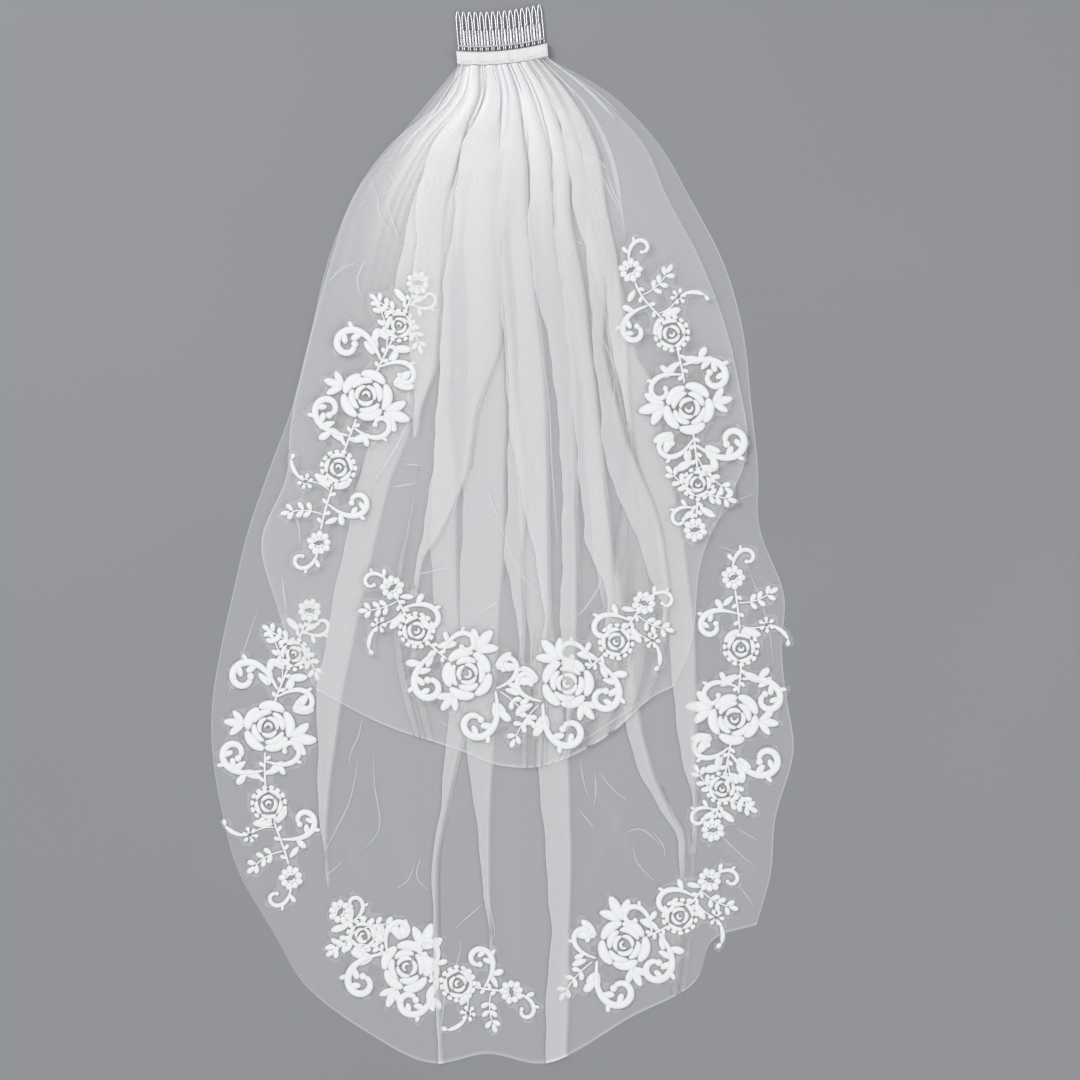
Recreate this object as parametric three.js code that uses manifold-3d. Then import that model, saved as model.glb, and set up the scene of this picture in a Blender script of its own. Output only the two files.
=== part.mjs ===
// A two-tier bridal veil laid out flat with its comb uppermost. Sizes are in millimetres.
// X runs across the veil, Y from the hem up to the comb, and Z up from the surface it lies on.
// The origin is under the middle of the whole outline.

import * as THREE from 'three';
import { mergeVertices } from 'three/addons/utils/BufferGeometryUtils.js';
import Module from 'manifold-3d';

const wasm = await Module();
wasm.setup();

// Cloth wall, and the clearance kept between pieces and between the layers of a fold
const WALL = 1.0;
const CLEARANCE = 0.3;
const LAYER = WALL + CLEARANCE;
const FOLD_HEIGHT = WALL + 2 * LAYER;

// Ribbon band that binds the gathered top edges, how far its middle sags, and where the comb lies
const BAND = { length: 81, depth: 12, height: 7.8, corner: 2.6, cornerSteps: 2, sag: 3.4, steps: 8 };
const GATHER_LENGTH = 79.8;
const COMB_PLACE = new THREE.Vector2(0.4, 420);
const COMB_TILT = THREE.MathUtils.degToRad(5);

// Comb of bent wire: long hairpin teeth, a bar under them, and a bar with short loops over them
const WIRE = { diameter: 1.2, sides: 4 };
const TOOTH = { count: 15, pitch: 5.2, width: 3.4, reach: 37, level: 2.2, steps: 8 };
const LOOP = { width: 3.2, reach: 21.7, steps: 6, diameter: 0.9 };
const HAIRPIN = { straightShare: 0.5, shoulderShare: 0.85, shoulderWidth: 0.8 };
const BAR_REACH = 5;
const BAR_STEPS = 6;
const BAR_LENGTH = TOOTH.pitch * (TOOTH.count - 1) + TOOTH.width + 2 * WIRE.diameter;

// Pleats: narrowest fold, how far the top layer passes the fold line, and the slope back to the panel
const PLEAT = { narrowest: 1.6, atBand: 2, overhang: 1.1, rampAtBand: 1.4, rampBelow: 5, taperRows: 4 };
const PLEAT_GROWTH = { from: 0.05, to: 0.5 };
const STANDING_FOLD = [
  { shift: -0.8, level: 0 },
  { shift: -0.8, level: 1 },
  { shift: 0.8, level: 1 },
  { shift: 0.8, level: 2 },
  { shift: 2.2, level: 2 },
  { shift: 4.6, level: 0 },
];
const FLAT_SPACING = { first: 1.6, perRow: 1.5, widest: 6 };

// How far in from a side edge, as a share of the width, a fold of that edge is felt
const EDGE_FOLD_REACH = 0.25;

// Lower tier: its side edges at levels down the veil, its hem from left to right, and its pleats.
// An edge fold pushes a side edge out, or draws it in where negative, about a share of the drop.
// A pleat's band and hem columns are shares of the width, and ends is the share of the drop it runs.
const LOWER_TIER = {
  name: 'lower_tier',
  underside: 0,
  rows: 16,
  borderColumns: 6,
  sections: [
    { y: 390, left: -61, right: 97 },
    { y: 345, left: -98, right: 140 },
    { y: 300, left: -132, right: 166 },
    { y: 240, left: -156, right: 197 },
    { y: 180, left: -170, right: 214 },
    { y: 110, left: -188, right: 222 },
    { y: 50, left: -210, right: 229 },
    { y: 0, left: -227, right: 235 },
    { y: -50, left: -239, right: 241 },
    { y: -100, left: -250, right: 247 },
    { y: -150, left: -258, right: 252 },
    { y: -195, left: -258, right: 253 },
    { y: -250, left: -249, right: 248 },
    { y: -300, left: -235, right: 240 },
  ],
  edgeFolds: [
    { side: 'right', down: 0.57, span: 0.04, push: -6 },
    { side: 'right', down: 0.65, span: 0.04, push: 9 },
    { side: 'right', down: 0.81, span: 0.04, push: 6 },
    { side: 'right', down: 0.89, span: 0.04, push: -5 },
  ],
  hem: [
    { x: -202, y: -358 },
    { x: -176, y: -401 },
    { x: -120, y: -444 },
    { x: -64, y: -471 },
    { x: -13, y: -463 },
    { x: 39, y: -471 },
    { x: 115, y: -430 },
    { x: 171, y: -399 },
    { x: 187, y: -362 },
    { x: 226, y: -348 },
  ],
  pleats: [
    { band: 0.18, hem: 0.22, width: 16, ends: 0.76, turn: -1 },
    { band: 0.4, hem: 0.4, width: 14, ends: 0.76, turn: 1 },
    { band: 0.47, hem: 0.475, width: 17, ends: 0.76, turn: 1 },
    { band: 0.55, hem: 0.59, width: 20, ends: 1, turn: 1 },
    { band: 0.63, hem: 0.74, width: 14, ends: 0.76, turn: 1 },
    { band: 0.74, hem: 0.81, width: 15, ends: 0.7, turn: 1 },
  ],
};

// Upper tier, which lies over the lower one and clears its folds
const UPPER_TIER = {
  name: 'upper_tier',
  underside: FOLD_HEIGHT + CLEARANCE,
  rows: 12,
  borderColumns: 4,
  sections: [
    { y: 390, left: -49, right: 83 },
    { y: 345, left: -100, right: 126 },
    { y: 300, left: -132, right: 146 },
    { y: 240, left: -153, right: 177 },
    { y: 170, left: -172, right: 202 },
    { y: 110, left: -186, right: 212 },
    { y: 70, left: -193, right: 210 },
    { y: 30, left: -199, right: 202 },
    { y: -8, left: -203, right: 191 },
    { y: -50, left: -202, right: 180 },
    { y: -100, left: -188, right: 168 },
  ],
  edgeFolds: [
    { side: 'left', down: 0.67, span: 0.05, push: -5 },
    { side: 'left', down: 0.77, span: 0.06, push: 11 },
    { side: 'right', down: 0.65, span: 0.06, push: 7 },
    { side: 'right', down: 0.81, span: 0.08, push: -10 },
  ],
  hem: [
    { x: -165, y: -139 },
    { x: -105, y: -170 },
    { x: -40, y: -192 },
    { x: -2, y: -206 },
    { x: 38, y: -206 },
    { x: 93, y: -180 },
    { x: 132, y: -146 },
    { x: 152, y: -136 },
  ],
  pleats: [
    { band: 0.1, hem: 0.14, width: 6, ends: 0.1, turn: 1 },
    { band: 0.19, hem: 0.25, width: 7, ends: 0.17, turn: 1 },
    { band: 0.28, hem: 0.35, width: 13, ends: 0.58, turn: -1 },
    { band: 0.36, hem: 0.41, width: 11, ends: 0.67, turn: -1 },
    { band: 0.44, hem: 0.46, width: 12, ends: 0.58, turn: 1 },
    { band: 0.52, hem: 0.52, width: 10, ends: 0.67, turn: 1 },
    { band: 0.6, hem: 0.58, width: 13, ends: 0.67, turn: 1 },
    { band: 0.68, hem: 0.63, width: 11, ends: 0.67, turn: 1 },
    { band: 0.76, hem: 0.67, width: 9, ends: 0.58, turn: 1 },
    { band: 0.88, hem: 0.8, width: 6, ends: 0.1, turn: -1 },
  ],
};

// Lace sprays: the run of each stem, in shares across and down its tier, and the side its scrolls face
const SPRAYS = [
  {
    name: 'upper_spray_left', tier: UPPER_TIER, side: 1, layout: 'long',
    stem: [
      { across: 0.11, down: 0.78 },
      { across: 0.105, down: 0.73 },
      { across: 0.12, down: 0.63 },
      { across: 0.155, down: 0.53 },
      { across: 0.205, down: 0.43 },
      { across: 0.25, down: 0.35 },
    ],
  },
  {
    name: 'upper_spray_right', tier: UPPER_TIER, side: 1, layout: 'long',
    stem: [
      { across: 0.815, down: 0.325 },
      { across: 0.82, down: 0.39 },
      { across: 0.87, down: 0.455 },
      { across: 0.88, down: 0.555 },
      { across: 0.905, down: 0.67 },
      { across: 0.955, down: 0.77 },
    ],
  },
  {
    name: 'upper_spray_hem_left', tier: UPPER_TIER, side: -1, layout: 'short',
    stem: [
      { across: 0.255, down: 0.775 },
      { across: 0.32, down: 0.835 },
      { across: 0.435, down: 0.88 },
      { across: 0.535, down: 0.9 },
    ],
  },
  {
    name: 'upper_spray_hem_right', tier: UPPER_TIER, side: 1, layout: 'short',
    stem: [
      { across: 0.855, down: 0.82 },
      { across: 0.755, down: 0.87 },
      { across: 0.65, down: 0.895 },
      { across: 0.575, down: 0.92 },
    ],
  },
  {
    name: 'lower_spray_left', tier: LOWER_TIER, side: 1, layout: 'long',
    stem: [
      { across: 0.15, down: 0.885 },
      { across: 0.15, down: 0.85 },
      { across: 0.12, down: 0.785 },
      { across: 0.12, down: 0.715 },
      { across: 0.145, down: 0.635 },
      { across: 0.16, down: 0.585 },
    ],
  },
  {
    name: 'lower_spray_right', tier: LOWER_TIER, side: 1, layout: 'long',
    stem: [
      { across: 0.935, down: 0.6 },
      { across: 0.93, down: 0.655 },
      { across: 0.935, down: 0.71 },
      { across: 0.915, down: 0.765 },
      { across: 0.88, down: 0.81 },
      { across: 0.85, down: 0.855 },
    ],
  },
  {
    name: 'lower_spray_hem_left', tier: LOWER_TIER, side: 1, layout: 'long',
    stem: [
      { across: 0.53, down: 0.93 },
      { across: 0.44, down: 0.93 },
      { across: 0.35, down: 0.905 },
      { across: 0.265, down: 0.885 },
      { across: 0.23, down: 0.87 },
    ],
  },
  {
    name: 'lower_spray_hem_right', tier: LOWER_TIER, side: 1, layout: 'short',
    stem: [
      { across: 0.88, down: 0.905 },
      { across: 0.78, down: 0.92 },
      { across: 0.69, down: 0.92 },
      { across: 0.625, down: 0.92 },
    ],
  },
];

// Lace motifs along a stem. Along is a share of the stem, and turn an angle from its run, measured
// towards the edge of the tier.
const LAYOUTS = {
  long: {
    blooms: [
      { along: 0.07, size: 22, petals: 5 },
      { along: 0.32, size: 32, petals: 6 },
      { along: 0.57, size: 46, petals: 8 },
      { along: 0.82, size: 30, petals: 6 },
      { along: 0.97, size: 22, petals: 5 },
    ],
    scrolls: [
      { along: 0.2, turn: -112, size: 32, curl: 1 },
      { along: 0.43, turn: 100, size: 44, curl: -1 },
      { along: 0.67, turn: -42, size: 30, curl: -1 },
      { along: 0.69, turn: 48, size: 48, curl: 1 },
    ],
    leaves: [
      { along: 0.4, turn: 60, size: 22 },
      { along: 0.41, turn: -65, size: 24 },
      { along: 0.54, turn: -118, size: 40 },
      { along: 0.56, turn: -92, size: 43 },
      { along: 0.58, turn: -66, size: 41 },
      { along: 0.56, turn: 82, size: 40 },
      { along: 0.74, turn: -72, size: 30 },
    ],
  },
  short: {
    blooms: [
      { along: 0.06, size: 22, petals: 5 },
      { along: 0.34, size: 32, petals: 6 },
      { along: 0.72, size: 46, petals: 8 },
    ],
    scrolls: [
      { along: 0.19, turn: -80, size: 32, curl: 1 },
      { along: 0.5, turn: 100, size: 42, curl: -1 },
      { along: 0.9, turn: 55, size: 46, curl: 1 },
      { along: 0.9, turn: -48, size: 28, curl: -1 },
    ],
    leaves: [
      { along: 0.18, turn: 80, size: 22 },
      { along: 0.49, turn: -65, size: 24 },
      { along: 0.68, turn: -118, size: 40 },
      { along: 0.72, turn: -92, size: 43 },
      { along: 0.76, turn: -66, size: 41 },
      { along: 0.72, turn: 82, size: 40 },
    ],
  },
};

// Lace relief, and the widths of its stems, leaves and scrolls
const RELIEF = { vine: 1.2, bloom: 1.7, roundel: 2.2 };
const STEM = { width: 2.4, stations: 7 };
const LEAF_SIDES = [
  { along: 0.45, half: 3.4 },
  { along: 0.75, half: 4 },
];
const SCROLL = { rootWidth: 5.2, tipWidth: 3.4, stations: 6, lengthRatio: 1.75, sweep: 4.8 };
const BLOOM = { notch: 0.8, roundelFrom: 25, roundelShare: 0.42, roundelSides: 6 };

// Finishes
const TULLE = new THREE.MeshStandardMaterial({ color: 0xf5f5f2, roughness: 0.85, metalness: 0 });
const LACE = new THREE.MeshStandardMaterial({ color: 0xfbfaf6, roughness: 0.7, metalness: 0 });
const RIBBON = new THREE.MeshStandardMaterial({ color: 0xf7f6f3, roughness: 0.5, metalness: 0 });
const STEEL = new THREE.MeshStandardMaterial({ color: 0xc6c7ca, roughness: 0.28, metalness: 1 });

const ORIGIN = new THREE.Vector2(0, 0);
const WIRE_SECTION = new THREE.Shape(ringOutline(ORIGIN, WIRE.sides, 0, () => WIRE.diameter / 2));
const LOOP_SECTION = new THREE.Shape(ringOutline(ORIGIN, WIRE.sides, 0, () => LOOP.diameter / 2));
const { lerp, smoothstep, degToRad } = THREE.MathUtils;

function smoothCurve(points) {
  const spatial = points.map((point) => new THREE.Vector3(point.x, point.y, point.z ?? 0));
  return new THREE.CatmullRomCurve3(spatial, false, 'centripetal');
}

// How far the bowed comb and band lie below a straight line between their ends
function sagAt(along) {
  return -BAND.sag * (1 - ((2 * along) / BAND.length) ** 2);
}

// A point of the gathered edge, just below the band, from its left end to its right
function gatherPoint(share) {
  const along = (share - 0.5) * GATHER_LENGTH;
  const local = new THREE.Vector2(along, sagAt(along) - CLEARANCE);
  return local.rotateAround(ORIGIN, COMB_TILT).add(COMB_PLACE);
}

// How far the folds of the side edges move a point of the panel across
function edgeShift(tier, across, down) {
  return tier.edgeFolds.reduce((sum, { side, down: middle, span, push }) => {
    const fromEdge = side === 'left' ? across : 1 - across;
    const outward = side === 'left' ? -push : push;
    const swell = Math.exp(-(((down - middle) / span) ** 2));
    return sum + outward * swell * Math.max(0, 1 - fromEdge / EDGE_FOLD_REACH) ** 2;
  }, 0);
}

// The panel of a tier as a surface blended from its gathered edge, side edges and hem.
// Across runs from the left edge to the right, and down from the band to the hem.
function panelOf(tier) {
  const leftRows = tier.sections.map((section) => ({ x: section.left, y: section.y }));
  const rightRows = tier.sections.map((section) => ({ x: section.right, y: section.y }));
  const left = smoothCurve([gatherPoint(0), ...leftRows, tier.hem[0]]);
  const right = smoothCurve([gatherPoint(1), ...rightRows, tier.hem.at(-1)]);
  const hem = smoothCurve(tier.hem);
  const corners = [left.getPointAt(0), right.getPointAt(0), hem.getPointAt(0), hem.getPointAt(1)];

  return (across, down) => {
    const sides = new THREE.Vector3().lerpVectors(left.getPointAt(down), right.getPointAt(down), across);
    const gather = gatherPoint(across);
    const ends = new THREE.Vector3(gather.x, gather.y, 0).lerp(hem.getPointAt(across), down);
    const topCorners = corners[0].clone().lerp(corners[1], across);
    const hemCorners = corners[2].clone().lerp(corners[3], across);
    const point = sides.add(ends).sub(topCorners.lerp(hemCorners, down));
    point.x += edgeShift(tier, across, down);
    return point;
  };
}

// How many millimetres the panel widens for a whole share across
function spreadOf(panel, across, down) {
  const step = 0.01;
  return panel(across + step, down).distanceTo(panel(across - step, down)) / (2 * step);
}

// A pleat laid over: the cloth rises at the fold line, doubles back, comes out on top and slopes down
function foldedSection(width, ramp) {
  return [
    { shift: 0, level: 0 },
    { shift: 0, level: 1 },
    { shift: -width, level: 1 },
    { shift: -width, level: 2 },
    { shift: PLEAT.overhang, level: 2 },
    { shift: PLEAT.overhang + ramp, level: 0 },
  ];
}

// A pleat that has run out: its stations lie flat and spread apart row by row
function flatSection(rowsPast) {
  const spacing = Math.min(FLAT_SPACING.widest, FLAT_SPACING.first + FLAT_SPACING.perRow * rowsPast);
  const middle = (STANDING_FOLD.length - 1) / 2;
  return STANDING_FOLD.map((_, index) => ({ shift: (index - middle) * spacing, level: 0 }));
}

// A pleat's section on one row: laid over, then standing up for a row, then flat
function pleatSection(pleat, row, rows) {
  const down = row / rows;
  const lastRow = Math.round(pleat.ends * rows);
  const standingRow = lastRow + 1;
  let section = STANDING_FOLD;
  if (row <= lastRow) {
    const growth = smoothstep(down, PLEAT_GROWTH.from, PLEAT_GROWTH.to);
    const grown = lerp(PLEAT.atBand, pleat.width, growth);
    const taper = lastRow < rows ? (lastRow - row) / PLEAT.taperRows : 1;
    const width = Math.min(grown, lerp(PLEAT.narrowest, pleat.width, Math.min(1, taper)));
    section = foldedSection(width, lerp(PLEAT.rampAtBand, PLEAT.rampBelow, growth));
  } else if (row > standingRow) {
    section = flatSection(row - standingRow - 1);
  }
  if (pleat.turn > 0) {
    return section;
  }
  return section.map(({ shift, level }) => ({ shift: -shift, level })).reverse();
}

// The half-thickness offset at each station of a section, mitred between its neighbours
function mitresOf(section) {
  const line = section.map(({ shift, level }) => new THREE.Vector2(shift, level * LAYER));
  const lead = new THREE.Vector2(WALL, 0);
  line.unshift(line[0].clone().sub(lead));
  line.push(line.at(-1).clone().add(lead));
  return section.map((_, index) => {
    const before = line[index + 1].clone().sub(line[index]).normalize();
    const after = line[index + 2].clone().sub(line[index + 1]).normalize();
    const turned = before.rotateAround(ORIGIN, Math.PI / 2);
    const next = after.rotateAround(ORIGIN, Math.PI / 2);
    const closeness = 1 + turned.dot(next);
    return turned.add(next).multiplyScalar(WALL / 2 / closeness);
  });
}

// The stations of one pleat on one row, as shares across for both faces of the wall
function pleatStations(tier, panel, pleat, row) {
  const down = row / tier.rows;
  const eased = 1 - (1 - down) ** 2;
  const line = lerp(pleat.band, pleat.hem, eased);
  const spread = spreadOf(panel, line, down);
  const section = pleatSection(pleat, row, tier.rows);
  const mitres = mitresOf(section);
  return section.map(({ shift, level }, index) => ({
    top: line + (shift + mitres[index].x) / spread,
    under: line + (shift - mitres[index].x) / spread,
    topLevel: level * LAYER + mitres[index].y,
    underLevel: level * LAYER - mitres[index].y,
  }));
}

function plainStation(across) {
  return { top: across, under: across, topLevel: WALL / 2, underLevel: -WALL / 2 };
}

// One row of a tier from its left edge to its right: plain stretches at the sides, pleats between
function rowStations(tier, panel, row) {
  const pleats = tier.pleats.map((pleat) => pleatStations(tier, panel, pleat, row));
  const first = Math.min(...pleats[0].map((station) => station.under));
  const last = Math.max(...pleats.at(-1).map((station) => station.under));
  const shares = Array.from({ length: tier.borderColumns }, (_, index) => index / tier.borderColumns);
  const leftStretch = shares.map((share) => plainStation(first * share));
  const rightStretch = shares.map((share) => plainStation(lerp(1, last, share))).reverse();
  return [...leftStretch, ...pleats.flat(), ...rightStretch];
}

// Triangles of a closed wall whose upper and under faces are grids of the same rows and columns
function wallTriangles(rows, columns) {
  const under = (rows + 1) * columns;
  const at = (row, column) => row * columns + column;
  const index = [];
  for (let row = 0; row < rows; row += 1) {
    for (let column = 0; column + 1 < columns; column += 1) {
      const [a, b] = [at(row, column), at(row + 1, column)];
      const [c, d] = [at(row + 1, column + 1), at(row, column + 1)];
      index.push(a, b, c, a, c, d);
      index.push(a + under, c + under, b + under, a + under, d + under, c + under);
    }
  }
  const rim = [];
  for (let row = 0; row < rows; row += 1) {
    rim.push([at(row, 0), at(row + 1, 0)], [at(row + 1, columns - 1), at(row, columns - 1)]);
  }
  for (let column = 0; column + 1 < columns; column += 1) {
    rim.push([at(0, column + 1), at(0, column)], [at(rows, column), at(rows, column + 1)]);
  }
  for (const [from, to] of rim) {
    index.push(to, from, from + under, to, from + under, to + under);
  }
  return index;
}

function tierGeometry(tier) {
  const panel = panelOf(tier);
  const middle = tier.underside + WALL / 2;
  const upperFace = [];
  const underFace = [];
  let columns = 0;
  for (let row = 0; row <= tier.rows; row += 1) {
    const stations = rowStations(tier, panel, row);
    columns = stations.length;
    for (const station of stations) {
      const above = panel(station.top, row / tier.rows);
      const below = panel(station.under, row / tier.rows);
      upperFace.push(above.x, above.y, middle + station.topLevel);
      underFace.push(below.x, below.y, middle + station.underLevel);
    }
  }
  const geometry = new THREE.BufferGeometry();
  geometry.setAttribute('position', new THREE.Float32BufferAttribute([...upperFace, ...underFace], 3));
  geometry.setIndex(wallTriangles(tier.rows, columns));
  return geometry;
}

function solidOf(geometry) {
  const bare = geometry.clone();
  bare.deleteAttribute('normal');
  bare.deleteAttribute('uv');
  const merged = mergeVertices(bare);
  const vertProperties = merged.attributes.position.array;
  const triVerts = Uint32Array.from(merged.index.array);
  return new wasm.Manifold(new wasm.Mesh({ numProp: 3, vertProperties, triVerts }));
}

function joined(geometries) {
  const whole = geometries.map(solidOf).reduce((sum, solid) => sum.add(solid));
  const { vertProperties, triVerts } = whole.getMesh();
  const geometry = new THREE.BufferGeometry();
  geometry.setAttribute('position', new THREE.BufferAttribute(vertProperties, 3));
  geometry.setIndex(new THREE.BufferAttribute(triVerts, 1));
  return geometry;
}

// A flat piece of lace with upright edges, standing on a level
function raised(outline, relief, level) {
  const shape = new THREE.Shape(outline);
  const geometry = new THREE.ExtrudeGeometry(shape, { depth: relief, bevelEnabled: false });
  return geometry.translate(0, 0, level);
}

// The outline of a strip whose width runs evenly from its first point to its last
function stripOutline(points, rootWidth, tipWidth) {
  const edges = points.map((point, index) => {
    const before = points[Math.max(0, index - 1)];
    const after = points[Math.min(points.length - 1, index + 1)];
    const half = lerp(rootWidth, tipWidth, index / (points.length - 1)) / 2;
    const aside = after.clone().sub(before).normalize().rotateAround(ORIGIN, Math.PI / 2);
    return aside.multiplyScalar(half);
  });
  const left = points.map((point, index) => point.clone().add(edges[index]));
  const right = points.map((point, index) => point.clone().sub(edges[index]));
  return [...left, ...right.reverse()];
}

// Points round a centre, each at its own radius
function ringOutline(centre, count, heading, radiusAt) {
  return Array.from({ length: count }, (_, index) => {
    const spoke = new THREE.Vector2(radiusAt(index), 0);
    return spoke.rotateAround(ORIGIN, heading + (2 * Math.PI * index) / count).add(centre);
  });
}

function bloomOutline(centre, { size, petals }, heading) {
  const radiusAt = (index) => (size / 2) * (index % 2 ? BLOOM.notch : 1);
  return ringOutline(centre, 2 * petals, heading, radiusAt);
}

// A leaf grows from a root in the stem to a point
function leafOutline(root, size, heading) {
  const right = LEAF_SIDES.map(({ along, half }) => ({ x: along * size, y: -half }));
  const left = LEAF_SIDES.map(({ along, half }) => ({ x: along * size, y: half })).reverse();
  const outline = [{ x: -STEM.width, y: 0 }, ...right, { x: size, y: 0 }, ...left];
  return outline.map(({ x, y }) => new THREE.Vector2(x, y).rotateAround(ORIGIN, heading).add(root));
}

// A scroll leaves the stem straight and curls more tightly towards its tip
function scrollOutline(root, size, heading, curl) {
  const step = (size * SCROLL.lengthRatio) / (SCROLL.stations - 1);
  const points = [root.clone()];
  for (let station = 1; station < SCROLL.stations; station += 1) {
    const share = (station - 0.5) / (SCROLL.stations - 1);
    const bearing = heading + curl * SCROLL.sweep * share ** 2;
    points.push(points.at(-1).clone().add(new THREE.Vector2(step, 0).rotateAround(ORIGIN, bearing)));
  }
  return stripOutline(points, SCROLL.rootWidth, SCROLL.tipWidth);
}

// One spray of lace, made from its panel's points and raised off the panel
function sprayGeometry(spray) {
  const panel = panelOf(spray.tier);
  const level = spray.tier.underside + WALL + CLEARANCE;
  const layout = LAYOUTS[spray.layout];
  const run = smoothCurve(spray.stem.map(({ across, down }) => panel(across, down)));
  const flatPoint = (share) => new THREE.Vector2(run.getPointAt(share).x, run.getPointAt(share).y);
  const headingAt = (share) => Math.atan2(run.getTangentAt(share).y, run.getTangentAt(share).x);

  const stemPoints = Array.from({ length: STEM.stations }, (_, i) => flatPoint(i / (STEM.stations - 1)));
  const pieces = [raised(stripOutline(stemPoints, STEM.width, STEM.width), RELIEF.vine, level)];
  for (const leaf of layout.leaves) {
    const heading = headingAt(leaf.along) + spray.side * degToRad(leaf.turn);
    pieces.push(raised(leafOutline(flatPoint(leaf.along), leaf.size, heading), RELIEF.vine, level));
  }
  for (const scroll of layout.scrolls) {
    const heading = headingAt(scroll.along) + spray.side * degToRad(scroll.turn);
    const outline = scrollOutline(flatPoint(scroll.along), scroll.size, heading, spray.side * scroll.curl);
    pieces.push(raised(outline, RELIEF.vine, level));
  }
  for (const bloom of layout.blooms) {
    const heading = headingAt(bloom.along);
    const centre = flatPoint(bloom.along);
    pieces.push(raised(bloomOutline(centre, bloom, heading), RELIEF.bloom, level));
    if (bloom.size > BLOOM.roundelFrom) {
      const radius = (bloom.size / 2) * BLOOM.roundelShare;
      const roundel = ringOutline(centre, BLOOM.roundelSides, heading, () => radius);
      pieces.push(raised(roundel, RELIEF.roundel, level));
    }
  }
  return joined(pieces);
}

// A hairpin of wire standing up the comb from its feet to a round tip
function hairpinGeometry(section, centre, width, foot, reach, level, steps) {
  const half = width / 2;
  const leg = [
    { x: half, y: foot },
    { x: half, y: lerp(foot, reach, HAIRPIN.straightShare) },
    { x: half * HAIRPIN.shoulderWidth, y: lerp(foot, reach, HAIRPIN.shoulderShare) },
  ];
  const otherLeg = leg.map(({ x, y }) => ({ x: -x, y })).reverse();
  const points = [...leg, { x: 0, y: reach - WIRE.diameter / 2 }, ...otherLeg];
  const placed = points.map((point) => {
    const x = centre + point.x;
    return { x, y: BAND.depth + point.y + sagAt(x), z: level };
  });
  const path = smoothCurve(placed);
  return new THREE.ExtrudeGeometry(section, { steps, bevelEnabled: false, extrudePath: path });
}

// A bar wire along the bowed comb
function barGeometry(level) {
  const points = Array.from({ length: BAR_STEPS + 1 }, (_, index) => {
    const x = (index / BAR_STEPS - 0.5) * BAR_LENGTH;
    return { x, y: BAND.depth + BAR_REACH + sagAt(x), z: level };
  });
  const options = { steps: BAR_STEPS, bevelEnabled: false, extrudePath: smoothCurve(points) };
  return new THREE.ExtrudeGeometry(WIRE_SECTION, options);
}

// The upper bar with a short loop standing from it between each two teeth
function loopedBarGeometry(level) {
  const loops = Array.from({ length: TOOTH.count - 1 }, (_, index) => {
    const centre = (index - (TOOTH.count - 2) / 2) * TOOTH.pitch;
    return hairpinGeometry(LOOP_SECTION, centre, LOOP.width, BAR_REACH, LOOP.reach, level, LOOP.steps);
  });
  return joined([barGeometry(level), ...loops]);
}

// The band lies bowed along the comb with rounded long edges on its upper face
function bandGeometry() {
  const { length, depth, height, corner, cornerSteps, steps } = BAND;
  const section = new THREE.Shape();
  section.moveTo(0, 0);
  section.lineTo(depth, 0);
  section.lineTo(depth, height - corner);
  section.absarc(depth - corner, height - corner, corner, 0, Math.PI / 2, false);
  section.absarc(corner, height - corner, corner, Math.PI / 2, Math.PI, false);
  const options = { depth: length, steps, bevelEnabled: false, curveSegments: cornerSteps };
  const geometry = new THREE.ExtrudeGeometry(section, options);
  geometry.rotateX(Math.PI / 2);
  geometry.rotateZ(Math.PI / 2);
  geometry.translate(-length / 2, 0, 0);
  const places = geometry.getAttribute('position');
  for (let index = 0; index < places.count; index += 1) {
    places.setY(index, places.getY(index) + sagAt(places.getX(index)));
  }
  return geometry;
}

function namedMesh(name, geometry, material) {
  const mesh = new THREE.Mesh(geometry, material);
  mesh.name = name;
  return mesh;
}

function combGroup() {
  const comb = new THREE.Group();
  comb.position.set(COMB_PLACE.x, COMB_PLACE.y, 0);
  comb.rotation.z = COMB_TILT;
  comb.add(namedMesh('comb_band', bandGeometry(), RIBBON));
  for (let index = 0; index < TOOTH.count; index += 1) {
    const centre = (index - (TOOTH.count - 1) / 2) * TOOTH.pitch;
    const { width, reach, level, steps } = TOOTH;
    const tooth = hairpinGeometry(WIRE_SECTION, centre, width, CLEARANCE, reach, level, steps);
    comb.add(namedMesh(`comb_tooth_${String(index + 1).padStart(2, '0')}`, tooth, STEEL));
  }
  const barOffset = WIRE.diameter + CLEARANCE;
  comb.add(namedMesh('comb_bar_lower', barGeometry(TOOTH.level - barOffset), STEEL));
  comb.add(namedMesh('comb_bar_upper', loopedBarGeometry(TOOTH.level + barOffset), STEEL));
  return comb;
}

const veil = new THREE.Group();
for (const tier of [LOWER_TIER, UPPER_TIER]) {
  veil.add(namedMesh(tier.name, tierGeometry(tier), TULLE));
}
for (const spray of SPRAYS) {
  veil.add(namedMesh(spray.name, sprayGeometry(spray), LACE));
}
veil.add(combGroup());

export default veil;
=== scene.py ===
"""Dresses a two-tier bridal veil: sheer tulle, corded lace sprays, a ribbon band and a wire comb."""
import logging
import math
from dataclasses import dataclass, field
from enum import Enum
from functools import lru_cache
from typing import Callable, Sequence

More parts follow.
